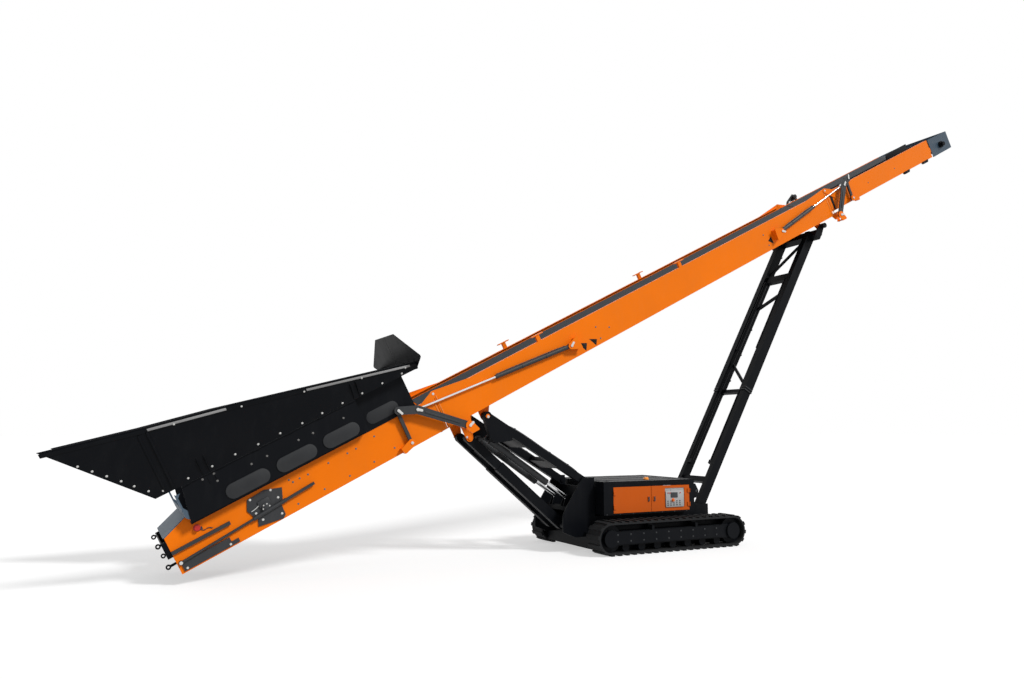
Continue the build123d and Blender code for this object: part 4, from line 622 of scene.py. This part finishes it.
    def hang(self) -> bpy.types.Object:
        """Join the solids, give them their finish and hang the piece on its body.

        Returns:
            The finished piece.
        """
        for pattern in self.screws.values():
            bpy.data.objects.remove(pattern)
        bpy.ops.object.select_all(action="DESELECT")
        for solid in self.solids:
            solid.select_set(True)
        bpy.context.view_layer.objects.active = self.solids[0]
        if len(self.solids) > 1:
            bpy.ops.object.join()
        bpy.ops.object.transform_apply(location=True, rotation=True, scale=True)
        bpy.ops.object.shade_smooth_by_angle(angle=math.radians(32))
        piece = bpy.context.object
        piece.name = self.name
        piece.data.materials.clear()
        piece.data.materials.append(self.finish.material)
        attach(piece, self.body.value)
        log.info("%s on %s: %d solids, %d faces", self.name, self.body.value, len(self.solids),
                 len(piece.data.polygons))
        return piece


def hang_all(*benches: Bench) -> None:
    """Hang several pieces."""
    for bench in benches:
        bench.hang()


def capsule(start: tuple, end: tuple, radius: float, place: Callable[[float, float], Vector]) -> list[Vector]:
    """Outline of a long rounded plate in an upright plane.

    Args:
        start: one end's centre on the plane.
        end: the other's.
        radius: radius of the ends.
        place: gives the point of two plane coordinates.

    Returns:
        Its corners in order.
    """
    lean = math.degrees(math.atan2(end[1] - start[1], end[0] - start[0]))
    ring = []
    for (a, b), turn in ((start, lean + 90), (end, lean - 90)):
        for step in range(13):
            angle = math.radians(turn + 15 * step)
            ring.append(place(a + radius * math.cos(angle), b + radius * math.sin(angle)))
    return ring


def on_line(y: float) -> Callable[[float, float], Vector]:
    """Places by s and t on the belt line at one y."""
    return lambda s, t: LINE.at(s, t, y)


@dataclass
class HopperDetails:
    """Rim, rib, gussets, posts and screws of the flaps, and the screws and fourth pad of the skirts."""

    flare: float = math.radians(24)
    hinge_y: float = 1.100
    hinge_t: float = 1.380
    face: float = 0.0105
    rim: tuple = ((5.355, 1.540), (1.840, 2.320), (0.460, 2.580), (-1.010, 2.895))
    rim_depth: float = 0.070
    rim_proud: float = 0.012
    rim_drop: float = 0.030
    worn_runs: tuple = ((0.50, 1.75), (3.15, 5.20))
    rib_s: float = 0.462
    rib: tuple = (0.085, 1.215)
    ribs: tuple = ((0.0, 0.034, 0.022), (-0.135, 0.030, 0.014))
    hinge_screws: tuple = ((0.748, 0.100), (1.174, 0.102), (1.597, 0.112), (2.019, 0.086), (2.442, 0.087),
                           (2.872, 0.070), (3.278, 0.071), (3.700, 0.071), (4.120, 0.071), (4.560, 0.071),
                           (5.000, 0.071))
    wing_screws: tuple = ((-0.620, 1.170), (-0.475, 0.985), (-0.325, 0.799), (-0.175, 0.605), (-0.040, 0.417),
                          (0.117, 0.214), (0.317, 0.099))
    gussets: tuple = (0.985, 1.110, 3.940, 4.056)
    gusset_top: float = 0.400
    rim_screws: tuple = (0.9, 2.0, 3.1, 4.2, 5.1)
    post_s: float = 5.335
    skirt_y: float = 1.080
    skirt_screws: tuple = ((1.152, 1.194), (1.777, 1.186), (2.074, 1.188), (2.692, 1.189), (2.981, 1.183),
                           (3.610, 1.175), (0.946, 1.331), (1.152, 1.331))
    pad_ends: tuple = ((4.178, 0.905), (4.620, 0.905))
    pad_r: float = 0.125
    pad_y: float = 0.868
    cad_pads: tuple = ((1.317, 1.853), (2.276, 2.781), (3.204, 3.672))
    cad_pad_t: float = 0.905
    cad_pad_r: float = 0.136
    cad_pad_y: float = 1.092

    def on_flap(self, side: int, s: float, up: float, out: float = 0.0) -> Vector:
        """A point on a flap's outer face.

        Args:
            side: near or far.
            s: place up the belt.
            up: distance up the flare from the hinge.
            out: distance out of the face.

        Returns:
            The point.
        """
        depth = self.face + out
        y = self.hinge_y + up * math.sin(self.flare) + depth * math.cos(self.flare)
        t = self.hinge_t + up * math.cos(self.flare) - depth * math.sin(self.flare)
        return LINE.at(s, t, side * y)

    def patch(self, side: int, top: tuple, low: tuple, out: float = 0.0) -> list[Vector]:
        """Four corners on a flap: two (s, up) of the top edge, then the ups of the low edge below them."""
        (s0, u0), (s1, u1) = top
        return [self.on_flap(side, s, up, out) for s, up in ((s0, u0), (s1, u1), (s1, low[1]), (s0, low[0]))]

    def normal(self, side: int) -> Vector:
        """The way out of a flap's face."""
        return (self.on_flap(side, 0, 0, 1.0) - self.on_flap(side, 0, 0, 0.0)).normalized()

    def up_of(self, t: float) -> float:
        """Distance up the flare of a height t."""
        return (t - self.hinge_t) / math.cos(self.flare)

    def build(self) -> None:
        """Make every piece."""
        for side, body, mark in ((NEAR, Body.FLAP_NEAR, "near"), (FAR, Body.FLAP_FAR, "far")):
            self._rim(side, body, mark)
            self._stiffeners(side, body, mark)
            self._screws(side, body, mark)
        self._skirts()

    def _rim(self, side: int, body: Body, mark: str) -> None:
        """The folded rim and its worn top edge."""
        rim = Bench(f"flap_rim_{mark}", body, Finish.BLACK)
        worn = Bench(f"flap_rim_wear_{mark}", body, Finish.SCRAPED)
        push = self.normal(side) * self.rim_proud
        for (s0, t0), (s1, t1) in zip(self.rim, self.rim[1:]):
            u0, u1 = self.up_of(t0) - self.rim_drop, self.up_of(t1) - self.rim_drop
            low = (u0 - self.rim_depth, u1 - self.rim_depth)
            rim.plate(self.patch(side, ((s0, u0), (s1, u1)), low), push)
        for start, end in self.worn_runs:
            u0, u1 = (self.up_of(self._rim_t(s)) - self.rim_drop - 0.004 for s in (start, end))
            worn.plate(self.patch(side, ((start, u0), (end, u1)), (u0 - 0.046, u1 - 0.046), self.rim_proud),
                       self.normal(side) * 0.002, 0.0005)
        hang_all(rim, worn)

    def _rim_t(self, s: float) -> float:
        """Height of the rim at s."""
        for (s0, t0), (s1, t1) in zip(self.rim, self.rim[1:]):
            if s1 <= s <= s0:
                return t0 + (t1 - t0) * (s - s0) / (s1 - s0)
        return self.rim[0][1]

    def _stiffeners(self, side: int, body: Body, mark: str) -> None:
        """The rib on the bend, the gussets over the hinge and the end post."""
        bench = Bench(f"flap_ribs_{mark}", body, Finish.BLACK)
        out = self.normal(side)
        low, high = self.rib
        for start, width, proud in self.ribs:
            s0, s1 = self.rib_s + start, self.rib_s + start + width
            bench.plate(self.patch(side, ((s0, low), (s1, low)), (high, high)), out * proud)
        for s in self.gussets:
            corners = ((0.030, 0.0), (0.030, 0.008), (0.250, 0.036), (0.330, 0.036), (self.gusset_top, 0.0))
            bench.plate([self.on_flap(side, s, up, rise) for up, rise in corners], LINE.basis().col[0] * 0.012, 0.001)
        top = self.up_of(self.rim[0][1]) - self.rim_depth - 0.01
        foot = (self.post_s - 0.03, 0.02), (self.post_s + 0.02, 0.02)
        bench.plate(self.patch(side, foot, (top, top)), out * 0.012)
        bench.hang()

    def _screws(self, side: int, body: Body, mark: str) -> None:
        """Screw rows over the hinge and along the wing's low edge."""
        bench = Bench(f"flap_screws_{mark}", body, Finish.WHITE)
        for s, up in self.hinge_screws + self.wing_screws:
            bench.screw(self.on_flap(side, s, up), self.normal(side), 0.020)
        for s in self.rim_screws:
            bench.screw(self.on_flap(side, s, self.up_of(self._rim_t(s)) - 0.08, self.rim_proud),
                        self.normal(side), 0.018)
        bench.hang()

    def _skirts(self) -> None:
        """Screws, low ribs and the fourth pad of the skirts."""
        screws = Bench("skirt_screws", Body.TAIL, Finish.WORN)
        ribs = Bench("skirt_ribs", Body.TAIL, Finish.BLACK)
        pads = Bench("skirt_pads", Body.TAIL, Finish.PAD)
        for side in SIDES:
            screws.row(self.skirt_screws, side, self.skirt_y, 0.020)
            for s in self.gussets[:2]:
                centre = LINE.at(s + 0.050, 1.270, side * (self.skirt_y + 0.006))
                ribs.block(centre, LINE.basis(), (0.012, 0.012, 0.12))
            pads.plate(capsule(*self.pad_ends, self.pad_r, on_line(side * self.pad_y)), outward(side) * 0.004, 0.0015)
            for s0, s1 in self.cad_pads:
                ends = (s0, self.cad_pad_t), (s1, self.cad_pad_t)
                ring = capsule(*ends, self.cad_pad_r, on_line(side * self.cad_pad_y))
                pads.plate(ring, outward(side) * 0.002, 0.0008)
        hang_all(screws, ribs, pads)


@dataclass
class TailDetails:
    """Screws, lever, screw pins and siren wire at the tail end."""

    plate_y: float = 0.855
    gear_y: float = 0.875
    screws: tuple = ((2.266, 0.585), (2.314, 0.517), (2.450, 0.520), (2.615, 0.511), (3.042, 0.520),
                     (3.442, 0.514), (3.628, 0.514), (2.774, 0.118), (3.302, 0.108), (2.232, 0.111),
                     (3.838, 0.121), (4.050, 0.560), (4.320, 0.170))
    gear_screws: tuple = ((1.508, 0.597), (1.897, 0.584), (1.900, 0.105), (1.500, 0.330), (1.960, 0.400),
                          (1.560, 0.170), (0.120, 0.060), (0.900, 0.060))
    lever: tuple = ((1.740, 0.500), (1.562, 0.400), (1.440, 0.398))
    screw_end: tuple = (0.062, 0.197)
    hub: tuple = (1.700, 0.345)
    hub_ring: float = 0.062
    screw_y: float = 0.941
    wire: tuple = ((0.560, 0.585), (0.590, 0.520), (0.640, 0.500), (0.700, 0.520), (0.760, 0.470))

    def build(self) -> None:
        """Make every piece."""
        plate = Bench("tail_screws", Body.TAIL, Finish.WORN)
        gear = Bench("gear_screws", Body.TAIL, Finish.ZINC)
        white = Bench("screw_end_caps", Body.TAIL, Finish.WHITE)
        dark = Bench("gear_castings", Body.TAIL, Finish.CHARCOAL)
        for side in SIDES:
            plate.row(self.screws, side, self.plate_y, 0.019)
            gear.row(self.gear_screws, side, self.gear_y, 0.021)
            white.face(side, LINE.at(*self.screw_end, side * self.screw_y), 0.012, 0.030, 24, 0.002)
            gear.line(LINE.route(self.lever, side * (self.gear_y + 0.010)), 0.009)
            dark.block(LINE.at(1.700, 0.440, side * (self.gear_y + 0.012)), LINE.basis(), (0.22, 0.03, 0.13), 0.010)
            hub = LINE.at(*self.hub, side * (self.gear_y - 0.004))
            dark.face(side, hub, 0.050, 0.085, 32, 0.006)
            dark.face(side, hub, 0.062, 0.040, 24, 0.004)
        for step in range(6):
            angle = math.radians(60 * step)
            place = (self.hub[0] + self.hub_ring * math.cos(angle), self.hub[1] + self.hub_ring * math.sin(angle))
            for side in SIDES:
                gear.row((place,), side, self.gear_y + 0.046, 0.012)
        dark.line(LINE.route(self.wire, NEAR * (self.plate_y + 0.012)), 0.006)
        dark.block(LINE.at(0.567, 0.560, NEAR * (self.plate_y + 0.008)), LINE.basis(), (0.09, 0.016, 0.05))
        hang_all(plate, gear, white, dark)


@dataclass
class FoldDetails:
    """Pin faces, weld bands and pipes of the fold linkages."""

    tail: dict = field(default_factory=lambda: {
        "rod": (5.025, 0.648), "head": (4.660, 0.805), "foot": (5.890, -0.137), "anchor": (8.860, 0.304),
        "strut": (4.650, 0.108), "hinge": (5.506, 0.766), "barrel": 1.960})
    head: dict = field(default_factory=lambda: {
        "rod": (18.930, 0.648), "head": (19.180, 0.756), "foot": (18.360, -0.040), "anchor": (16.106, 0.324),
        "strut": (19.150, 0.196), "hinge": (18.295, 0.736), "barrel": 1.495})
    link_pin_y: float = 1.029
    foot_pin_y: float = 1.051
    anchor_pin_y: float = 1.006
    strut_pin_y: float = 0.984
    hinge_pin_y: float = 0.871
    cylinder_y: float = 0.925
    pipe_rise: float = 0.057
    keepers: dict = field(default_factory=lambda: {"rod": -37, "head": -65, "foot": 18, "anchor": 30})
    keeper: tuple = (0.085, 0.026, 0.003)

    def build(self) -> None:
        """Make every piece of both linkages."""
        for link, mark, folding, links, barrels in (
                (self.tail, "tail", Body.TAIL, Body.TAIL_LINKS, Body.TAIL_BARRELS),
                (self.head, "head", Body.HEAD, Body.HEAD_LINKS, Body.HEAD_BARRELS)):
            on_links = Bench(f"{mark}_link_pins", links, Finish.WHITE)
            on_mid = Bench(f"{mark}_lug_pins", Body.MID, Finish.WHITE)
            on_fold = Bench(f"{mark}_strut_pins", folding, Finish.WHITE)
            bands = Bench(f"{mark}_link_bands", links, Finish.CHARCOAL)
            pipes = Bench(f"{mark}_barrel_pipes", barrels, Finish.CHARCOAL)
            for side in SIDES:
                for key, bench, y, radius, rise in (
                        ("rod", on_links, self.link_pin_y, 0.034, 0.006),
                        ("head", on_links, self.link_pin_y, 0.030, 0.006),
                        ("foot", on_mid, self.foot_pin_y, 0.032, 0.006),
                        ("anchor", on_mid, self.anchor_pin_y, 0.030, 0.006),
                        ("strut", on_fold, self.strut_pin_y, 0.030, 0.0006),
                        ("hinge", on_fold, self.hinge_pin_y, 0.026, 0.006)):
                    bench.face(side, LINE.at(*link[key], side * y), rise, radius, 28, min(0.0015, rise / 3))
                    if key in self.keepers:
                        self._keeper(bench, link[key], self.keepers[key] * (1 if mark == "tail" else -1), side * y)
                self._band(bands, link, side)
                self._pipes(pipes, link, side)
            hang_all(on_links, on_mid, on_fold, bands, pipes)

    def _keeper(self, bench: Bench, pin: tuple, lean: float, y: float) -> None:
        """Plate that keeps a pin from turning.

        Args:
            bench: where it is made.
            pin: s and t of the pin.
            lean: the way it points, in degrees from the belt line.
            y: place across, with its sign.
        """
        reach, radius, thick = self.keeper
        angle = math.radians(lean)
        end = (pin[0] + reach * math.cos(angle), pin[1] + reach * math.sin(angle))
        bench.plate(capsule(pin, end, radius, on_line(y)), outward(FAR if y > 0 else NEAR) * thick, 0.001)

    def _band(self, bench: Bench, link: dict, side: int) -> None:
        """Stiffener strip along a link.

        Args:
            bench: where it is made.
            link: the linkage's places.
            side: near or far.
        """
        foot, rod = (LINE.at(*link[key], side * (self.link_pin_y - 0.011)) for key in ("foot", "rod"))
        along = (rod - foot).normalized()
        across = along.cross(outward(side))
        start, end = foot + along * 0.22, rod - along * 0.16
        bench.plate([start - across * 0.018, end - across * 0.018, end + across * 0.018, start + across * 0.018],
                    outward(side) * 0.008, 0.003)

    def _pipes(self, bench: Bench, link: dict, side: int) -> None:
        """Hydraulic pipe along a barrel, with its end blocks and clips.

        Args:
            bench: where it is made.
            link: the linkage's places.
            side: near or far.
        """
        anchor, rod = (LINE.at(*link[key], side * self.cylinder_y) for key in ("anchor", "rod"))
        along = (rod - anchor).normalized()
        rise = outward(side).cross(along)
        rise = rise if rise.z > 0 else -rise
        turn = Matrix((along, outward(side), rise)).transposed()
        reach = link["barrel"] - 0.06
        top = [anchor + along * d + rise * self.pipe_rise for d in (0.16, 0.24, 0.5 * reach, reach - 0.08, reach)]
        top[0], top[-1] = top[0] - rise * 0.014, top[-1] - rise * 0.014
        bench.line(top, 0.008)
        for distance in (0.16, reach):
            bench.block(anchor + along * distance + rise * 0.046, turn, (0.045, 0.036, 0.024), 0.004)
        for share in (0.35, 0.68):
            centre = anchor + along * (share * reach)
            bench.ring(centre, along, 0.0490, 0.0045)


@dataclass
class BeamDetails:
    """Painted-shadow sheets in the cut-outs and the head seam opening, end flanges and screws of the side plates."""

    plate_y: float = 0.855
    cut_outs: tuple = (((9.110, 0.270), (9.335, 0.173), (9.240, 0.020)),
                       ((9.426, 0.231), (9.620, 0.144), (9.540, 0.020)),
                       ((15.640, 0.250), (15.800, 0.330), (15.800, 0.120)))
    screws: tuple = ((15.560, 0.450), (15.620, 0.140), (9.720, 0.400), (9.720, 0.120), (10.050, 0.250))
    flanges: tuple = ((Body.MID, 5.545, 0.715), (Body.MID, 18.245, 0.715), (Body.TAIL, 5.460, 0.694),
                      (Body.HEAD, 18.335, 0.655))
    opening: tuple = ((18.400, 0.560), (18.520, 0.600), (18.470, 0.120), (18.400, 0.150))

    def build(self) -> None:
        """Make every piece."""
        # Painted shadow: thin dark sheets stand in for the shade seen through the cut-outs and the head seam opening.
        cut_shadows = Bench("beam_cut_out_shadows", Body.MID, Finish.SHADOW)
        screws = Bench("beam_screws", Body.MID, Finish.WORN)
        opening_shadow = Bench("head_seam_opening_shadow", Body.HEAD, Finish.SHADOW)
        for side in SIDES:
            for outline in self.cut_outs:
                cut_shadows.plate(LINE.route(outline, side * self.plate_y), outward(side) * 0.0008, 0.0002)
            opening_shadow.plate(LINE.route(self.opening, side * self.plate_y), outward(side) * 0.0008, 0.0002)
            screws.row(self.screws, side, self.plate_y, 0.020)
        hang_all(cut_shadows, screws, opening_shadow)
        for number, (body, s, top) in enumerate(self.flanges):
            flange = Bench(f"seam_flange_{number}", body, Finish.PALE_ORANGE)
            for side in SIDES:
                centre = LINE.at(s, top / 2, side * (self.plate_y + 0.004))
                flange.block(centre, LINE.basis(), (0.020, 0.008, top - 0.02), 0.002)
            flange.hang()


@dataclass
class EnclosureDetails:
    """Panel face, handles, latches, roof strips and the rear bracket of the power enclosure."""

    door_y: float = 1.000
    panel: tuple = (0.545, 1.060, 0.915, 1.285)
    lamps: tuple = ((0.608, 1.234, 0.014), (0.660, 1.234, 0.012), (0.955, 1.234, 0.012))
    knob_at: tuple = (0.746, 1.071)
    knob_parts: tuple = ((0.040, 0.028, 0.005), (0.014, 0.042, 0.002))
    screen_at: tuple = (0.780, 1.185)
    screen: Point = (0.20, 0.012, 0.12)
    key: Point = (0.030, 0.010, 0.022)
    handle: Point = (0.040, 0.018, 0.105)
    trim_y: tuple = (-0.62, 0.0, 0.62)
    trim_x: tuple = (-0.95, 1.20)
    screw_x: tuple = (-1.05, -0.70, -0.35, 0.45, 0.80, 1.15)
    latches: tuple = ((0.077, 1.118), (0.238, 1.118), (1.030, 1.235), (1.030, 0.970))
    roof_z: float = 1.530
    bracket: tuple = ((1.382, 1.420), (1.470, 1.420), (1.560, 1.260), (1.530, 1.100), (1.382, 1.080))

    def build(self) -> None:
        """Make every piece."""
        self._panel()
        self._latches()
        self._roof()

    def _panel(self) -> None:
        """The control panel's face with its screen, knob, lamps and buttons."""
        x0, x1, z0, z1 = self.panel
        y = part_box("control_panel")[0][1]
        face = Bench("panel_face", Body.DOOR_NEAR_REAR, Finish.PANEL)
        dark = Bench("panel_screen", Body.DOOR_NEAR_REAR, Finish.DISPLAY)
        knob = Bench("panel_knob", Body.DOOR_NEAR_REAR, Finish.KNOB)
        lamp = Bench("panel_stop", Body.DOOR_NEAR_REAR, Finish.RED)
        face.block(Vector(((x0 + x1) / 2, y - 0.001, (z0 + z1) / 2)), PLAIN, (x1 - x0, 0.010, z1 - z0), 0.003)
        dark.block(Vector((self.screen_at[0], y - 0.008, self.screen_at[1])), PLAIN, self.screen, 0.004)
        for column in range(5):
            for row in range(3):
                dark.block(Vector((0.60 + 0.085 * column, y - 0.009, 0.960 + 0.045 * row)), PLAIN, self.key, 0.003)
        x, z = self.knob_at
        for reach, radius, bevel in self.knob_parts:
            knob.bar(Vector((x, y - 0.005, z)), Vector((x, y - reach, z)), radius, 28, bevel)
        for x, z, radius in self.lamps:
            lamp.bar(Vector((x, y - 0.005, z)), Vector((x, y - 0.022, z)), radius, 20, 0.003)
        hang_all(face, dark, knob, lamp)

    def _latches(self) -> None:
        """Handles and latches on the doors."""
        doors = ((Body.DOOR_NEAR_FRONT, NEAR, 0), (Body.DOOR_NEAR_REAR, NEAR, 1), (Body.DOOR_FAR_FRONT, FAR, 0),
                 (Body.DOOR_FAR_REAR, FAR, 1))
        for body, side, place in doors:
            bench = Bench(f"latch_{body.value}", body, Finish.DISPLAY)
            x, z = self.latches[place]
            y = side * (self.door_y + 0.012)
            bench.block(Vector((x, y, z)), PLAIN, self.handle, 0.006)
            bench.bar(Vector((x, y, z + 0.02)), Vector((x, y + side * 0.018, z + 0.02)), 0.012, 20, 0.003)
            bench.hang()

    def _roof(self) -> None:
        """Roof strips, lifting eyes, side vents and the rear bracket."""
        black = Bench("enclosure_trim", Body.BASE, Finish.BLACK)
        for y in self.trim_y:
            black.block(Vector((0.13, y, self.roof_z + 0.003)), PLAIN, (2.30, 0.045, 0.006), 0.002)
        for x in self.trim_x:
            black.block(Vector((x, 0, self.roof_z + 0.003)), PLAIN, (0.05, 1.80, 0.006), 0.002)
        for side in SIDES:
            black.plate([Vector((x, side * 0.930, z)) for x, z in self.bracket], outward(side) * 0.016, 0.003)
            for z in (1.455, 1.485):
                black.block(Vector((0.13, side * 1.002, z)), PLAIN, (2.2, 0.006, 0.010), 0.002)
        screws = Bench("enclosure_screws", Body.BASE, Finish.CHARCOAL)
        for side in SIDES:
            for x in self.screw_x:
                screws.screw(Vector((x, side * 1.000, 0.815)), outward(side), 0.014)
            eye = Vector((1.490, side * 0.946, 1.250))
            screws.face(side, eye, 0.006, 0.030, 28, 0.001)
        hang_all(black, screws)


@dataclass
class LegDetails:
    """Pipes, clips and collars on the telescopic legs."""

    face: float = 0.125
    pipe_r: float = 0.014
    run: tuple = (3.62, 8.02)
    clips: int = 6
    collars: tuple = (3.312, 3.385)

    def build(self) -> None:
        """Make every piece."""
        # The pipes' grey finish is partly painted sheen.
        pipes = Bench("leg_pipes", Body.LEG_OUTER, Finish.HOSE_PALE)
        clips = Bench("leg_clips", Body.LEG_OUTER, Finish.CHARCOAL)
        low, high = self.run
        out = -(self.face + self.pipe_r)
        for side in SIDES:
            for y in (0.455, 0.505):
                route = [(low - 0.02, out + 0.03), (low + 0.04, out), ((low + high) / 2, out), (high - 0.05, out),
                         (high, out + 0.02), (high + 0.06, out + 0.05)]
                pipes.line(LEG.route(route, side * y), self.pipe_r)
            step = (high - low - 0.3) / (self.clips - 1)
            for number in range(self.clips):
                clips.block(LEG.at(low + 0.15 + step * number, out - 0.001, side * 0.48), LEG.basis(),
                            (0.040, 0.105, 0.036), 0.004)
            for d in self.collars:
                clips.block(LEG.at(d, self.face + 0.005, side * 0.500), LEG.basis(), (0.022, 0.150, 0.010), 0.003)
                clips.block(LEG.at(d, 0, side * 0.5855), LEG.basis(), (0.022, 0.010, 0.250), 0.003)
        hang_all(pipes, clips)
        base = Bench("leg_foot_caps", Body.BASE, Finish.ZINC)
        for side in SIDES:
            seat = LEG.at(0, 0, side * (abs(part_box("leg_inner")[0][1]) + 0.001))
            base.face(side, seat, 0.008, 0.040, 28, 0.002)
        base.hang()


@dataclass
class LiftDetails:
    """Hoses and pin faces on the lift arms."""

    arm_y: float = 0.540
    top: float = -0.098
    hose_r: float = 0.012
    run: tuple = (0.32, 2.30)
    hose_y: tuple = (-0.048, -0.016, 0.016, 0.048)
    clamps: tuple = (0.62, 1.15, 1.68, 2.15)
    heads: tuple = ((6.505, -0.245, 0.625, 0.030), (5.985, -0.462, 0.341, 0.024))

    def build(self) -> None:
        """Make every piece."""
        # The hoses' grey finish is partly painted sheen.
        hoses = Bench("lift_arm_hoses", Body.BASE, Finish.HOSE_PALE)
        clamps = Bench("lift_arm_clamps", Body.BASE, Finish.CHARCOAL)
        low, high = self.run
        for side in SIDES:
            for number, offset in enumerate(self.hose_y):
                bend = 0.010 * math.sin(1.7 * number)
                route = [(low, self.top + 0.02), (low + 0.06, self.top), (low + 0.5, self.top - 0.004),
                         ((low + high) / 2, self.top - 0.002), (high - 0.5, self.top - 0.006 - abs(bend)),
                         (high - 0.05, self.top), (high, self.top + 0.02)]
                hoses.line([ARM.at(d, off, side * (self.arm_y + offset + (bend if 2 < step < 5 else 0)))
                            for step, (d, off) in enumerate(route)], self.hose_r)
            for d in self.clamps:
                centre = ARM.at(d, self.top - 0.003, side * self.arm_y)
                clamps.block(centre, ARM.basis(), (0.035, 0.128, 0.034), 0.004)
        hang_all(hoses, clamps)
        heads = Bench("lift_pin_faces", Body.MID, Finish.WHITE)
        for side in SIDES:
            for s, t, y, radius in self.heads:
                heads.face(side, LINE.at(s, t, side * y), 0.004, radius, 28, 0.001)
        heads.hang()


@dataclass
class HeadDetails:
    """Rails, roller brackets and screws of the head section."""

    plate_y: float = 0.855
    rail: tuple = (21.236, 22.252)
    rail_t: float = 0.700
    rail_height: float = 0.150
    brackets: tuple = (21.88, 22.85)
    bracket: tuple = ((-0.16, 0.130), (0.16, 0.130), (0.11, 0.055), (-0.11, 0.055))
    screws: tuple = ((23.30, 0.52), (23.30, 0.16), (23.48, 0.52), (23.48, 0.16), (20.10, 0.36), (21.40, 0.36))

    def build(self) -> None:
        """Make every piece."""
        rails = Bench("head_rails", Body.HEAD, Finish.BLACK)
        screws = Bench("head_screws", Body.HEAD, Finish.WORN)
        (s0, s1), t0 = self.rail, self.rail_t
        top = t0 + self.rail_height
        corners = (s0, t0), (s1, t0), (s1 + 0.03, top), (s0 + 0.03, top)
        rails.plate(LINE.route(corners, NEAR * (self.plate_y - 0.024)), outward(NEAR) * 0.020, 0.004)
        for s in (s0 + 0.05, (s0 + s1) / 2, s1 - 0.05):
            centre = LINE.at(s, t0 + 0.03, NEAR * (self.plate_y - 0.036))
            rails.block(centre, LINE.basis(), (0.05, 0.024, 0.10), 0.004)
        for side in SIDES:
            for s in self.brackets:
                corners = [(s + ds, t) for ds, t in self.bracket]
                rails.plate(LINE.route(corners, side * (self.plate_y - 0.05)), outward(side) * 0.06, 0.004)
            screws.row(self.screws, side, self.plate_y, 0.018)
        hang_all(rails, screws)


@dataclass
class TrackDetails:
    """Screws on the track frames' sides."""

    face_y: float = 1.480
    span: tuple = (-1.10, 1.60)
    rows: tuple = (0.300, 0.440)
    web_r: float = 0.270
    web_y: float = 1.200

    def build(self) -> None:
        """Make every piece."""
        screws = Bench("track_frame_screws", Body.BASE, Finish.CHARCOAL)
        webs = Bench("track_webs", Body.BASE, Finish.BLACK)
        x0, x1 = self.span
        for side in SIDES:
            for number in range(9):
                for z in self.rows:
                    screws.screw(Vector((x0 + (x1 - x0) * number / 8, side * self.face_y, z)), outward(side), 0.020)
            low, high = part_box("track_near" if side == NEAR else "track_far")
            middle = (low[2] + high[2]) / 2
            ring = capsule((low[0] + middle, middle), (high[0] - middle, middle), self.web_r,
                           lambda x, z, y=side * self.web_y: Vector((x, y, z)))
            webs.plate(ring, outward(side) * 0.012, 0.003)
        hang_all(screws, webs)


@dataclass
class Studio:
    """Camera at the photograph's angle, plain floor and soft light."""

    camera_at: Point = (-10.952, -15.946, 2.65)
    yaw: float = 26.84
    pitch: float = 6.54
    lens: float = 28.0
    floor_half: float = 400.0
    sun_from: Point = (0.45, -0.75, 0.80)
    sun_power: float = 2.3
    sky: float = 0.42
    bounce: float = 0.50
    shown: float = 0.58
    lift: float = 0.52

    def build(self) -> None:
        """Place camera, floor, sun and world."""
        self._camera()
        self._floor()
        self._sun()
        self._world()
        scene = bpy.context.scene
        scene.view_settings.view_transform = "Standard"

    def _camera(self) -> None:
        """The camera, aimed by its yaw from +Y and its pitch."""
        data = bpy.data.cameras.new("view")
        data.lens, data.sensor_width, data.sensor_fit = self.lens, 36.0, "HORIZONTAL"
        data.clip_end = 1000.0
        camera = linked(bpy.data.objects.new("view", data))
        camera.location = self.camera_at
        camera.rotation_euler = (math.radians(90 + self.pitch), 0, math.radians(-self.yaw))
        bpy.context.scene.camera = camera

    def _floor(self) -> None:
        """A wide pale floor that shows white to the camera where it is lit."""
        bpy.ops.object.select_all(action="DESELECT")
        bpy.ops.mesh.primitive_plane_add(size=2 * self.floor_half, location=(0, 0, -0.002))
        floor = bpy.context.object
        floor.name = "studio_floor"
        g = Shader.material("studio_floor")
        unseen = g.node("ShaderNodeBsdfDiffuse", {}, {"Color": (self.bounce,) * 3 + (1.0,)})
        lit = g.node("ShaderNodeBsdfDiffuse", {}, {"Color": (self.shown,) * 3 + (1.0,)})
        glow = g.node("ShaderNodeEmission", {}, {"Color": (1.0, 1.0, 1.0, 1.0), "Strength": self.lift})
        white = g.node("ShaderNodeAddShader", {}, {0: lit, 1: glow})
        material = g.close(g.node("ShaderNodeMixShader", {}, {0: g.seen, 1: unseen, 2: white}))
        floor.data.materials.append(material)

    def _sun(self) -> None:
        """A broad sun from the right behind the camera."""
        data = bpy.data.lights.new("soft_sun", "SUN")
        data.energy, data.angle = self.sun_power, math.radians(12)
        sun = linked(bpy.data.objects.new("soft_sun", data))
        sun.rotation_euler = Vector(self.sun_from).to_track_quat("Z", "Y").to_euler()

    def _world(self) -> None:
        """White to the camera and to glossy rays, softer as a light."""
        world = bpy.data.worlds.new("studio")
        bpy.context.scene.world = world
        g = Shader(world)
        strength = g.seen * (1.0 - self.sky) + self.sky
        background = g.node("ShaderNodeBackground", {}, {"Color": (1.0, 1.0, 1.0, 1.0), "Strength": strength})
        g.node("ShaderNodeOutputWorld", {}, {"Surface": background})


def main() -> None:
    """Load the frame, dress it and report."""
    logging.basicConfig(level=logging.INFO, format="%(name)s %(message)s")
    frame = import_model()
    Studio().build()
    CadFinishes().apply(frame["nodes"])
    for details in (HopperDetails(), TailDetails(), FoldDetails(), BeamDetails(), EnclosureDetails(), LegDetails(),
                    LiftDetails(), HeadDetails(), TrackDetails()):
        log.info("building %s", type(details).__name__)
        details.build()


if __name__ == "__main__":
    main()
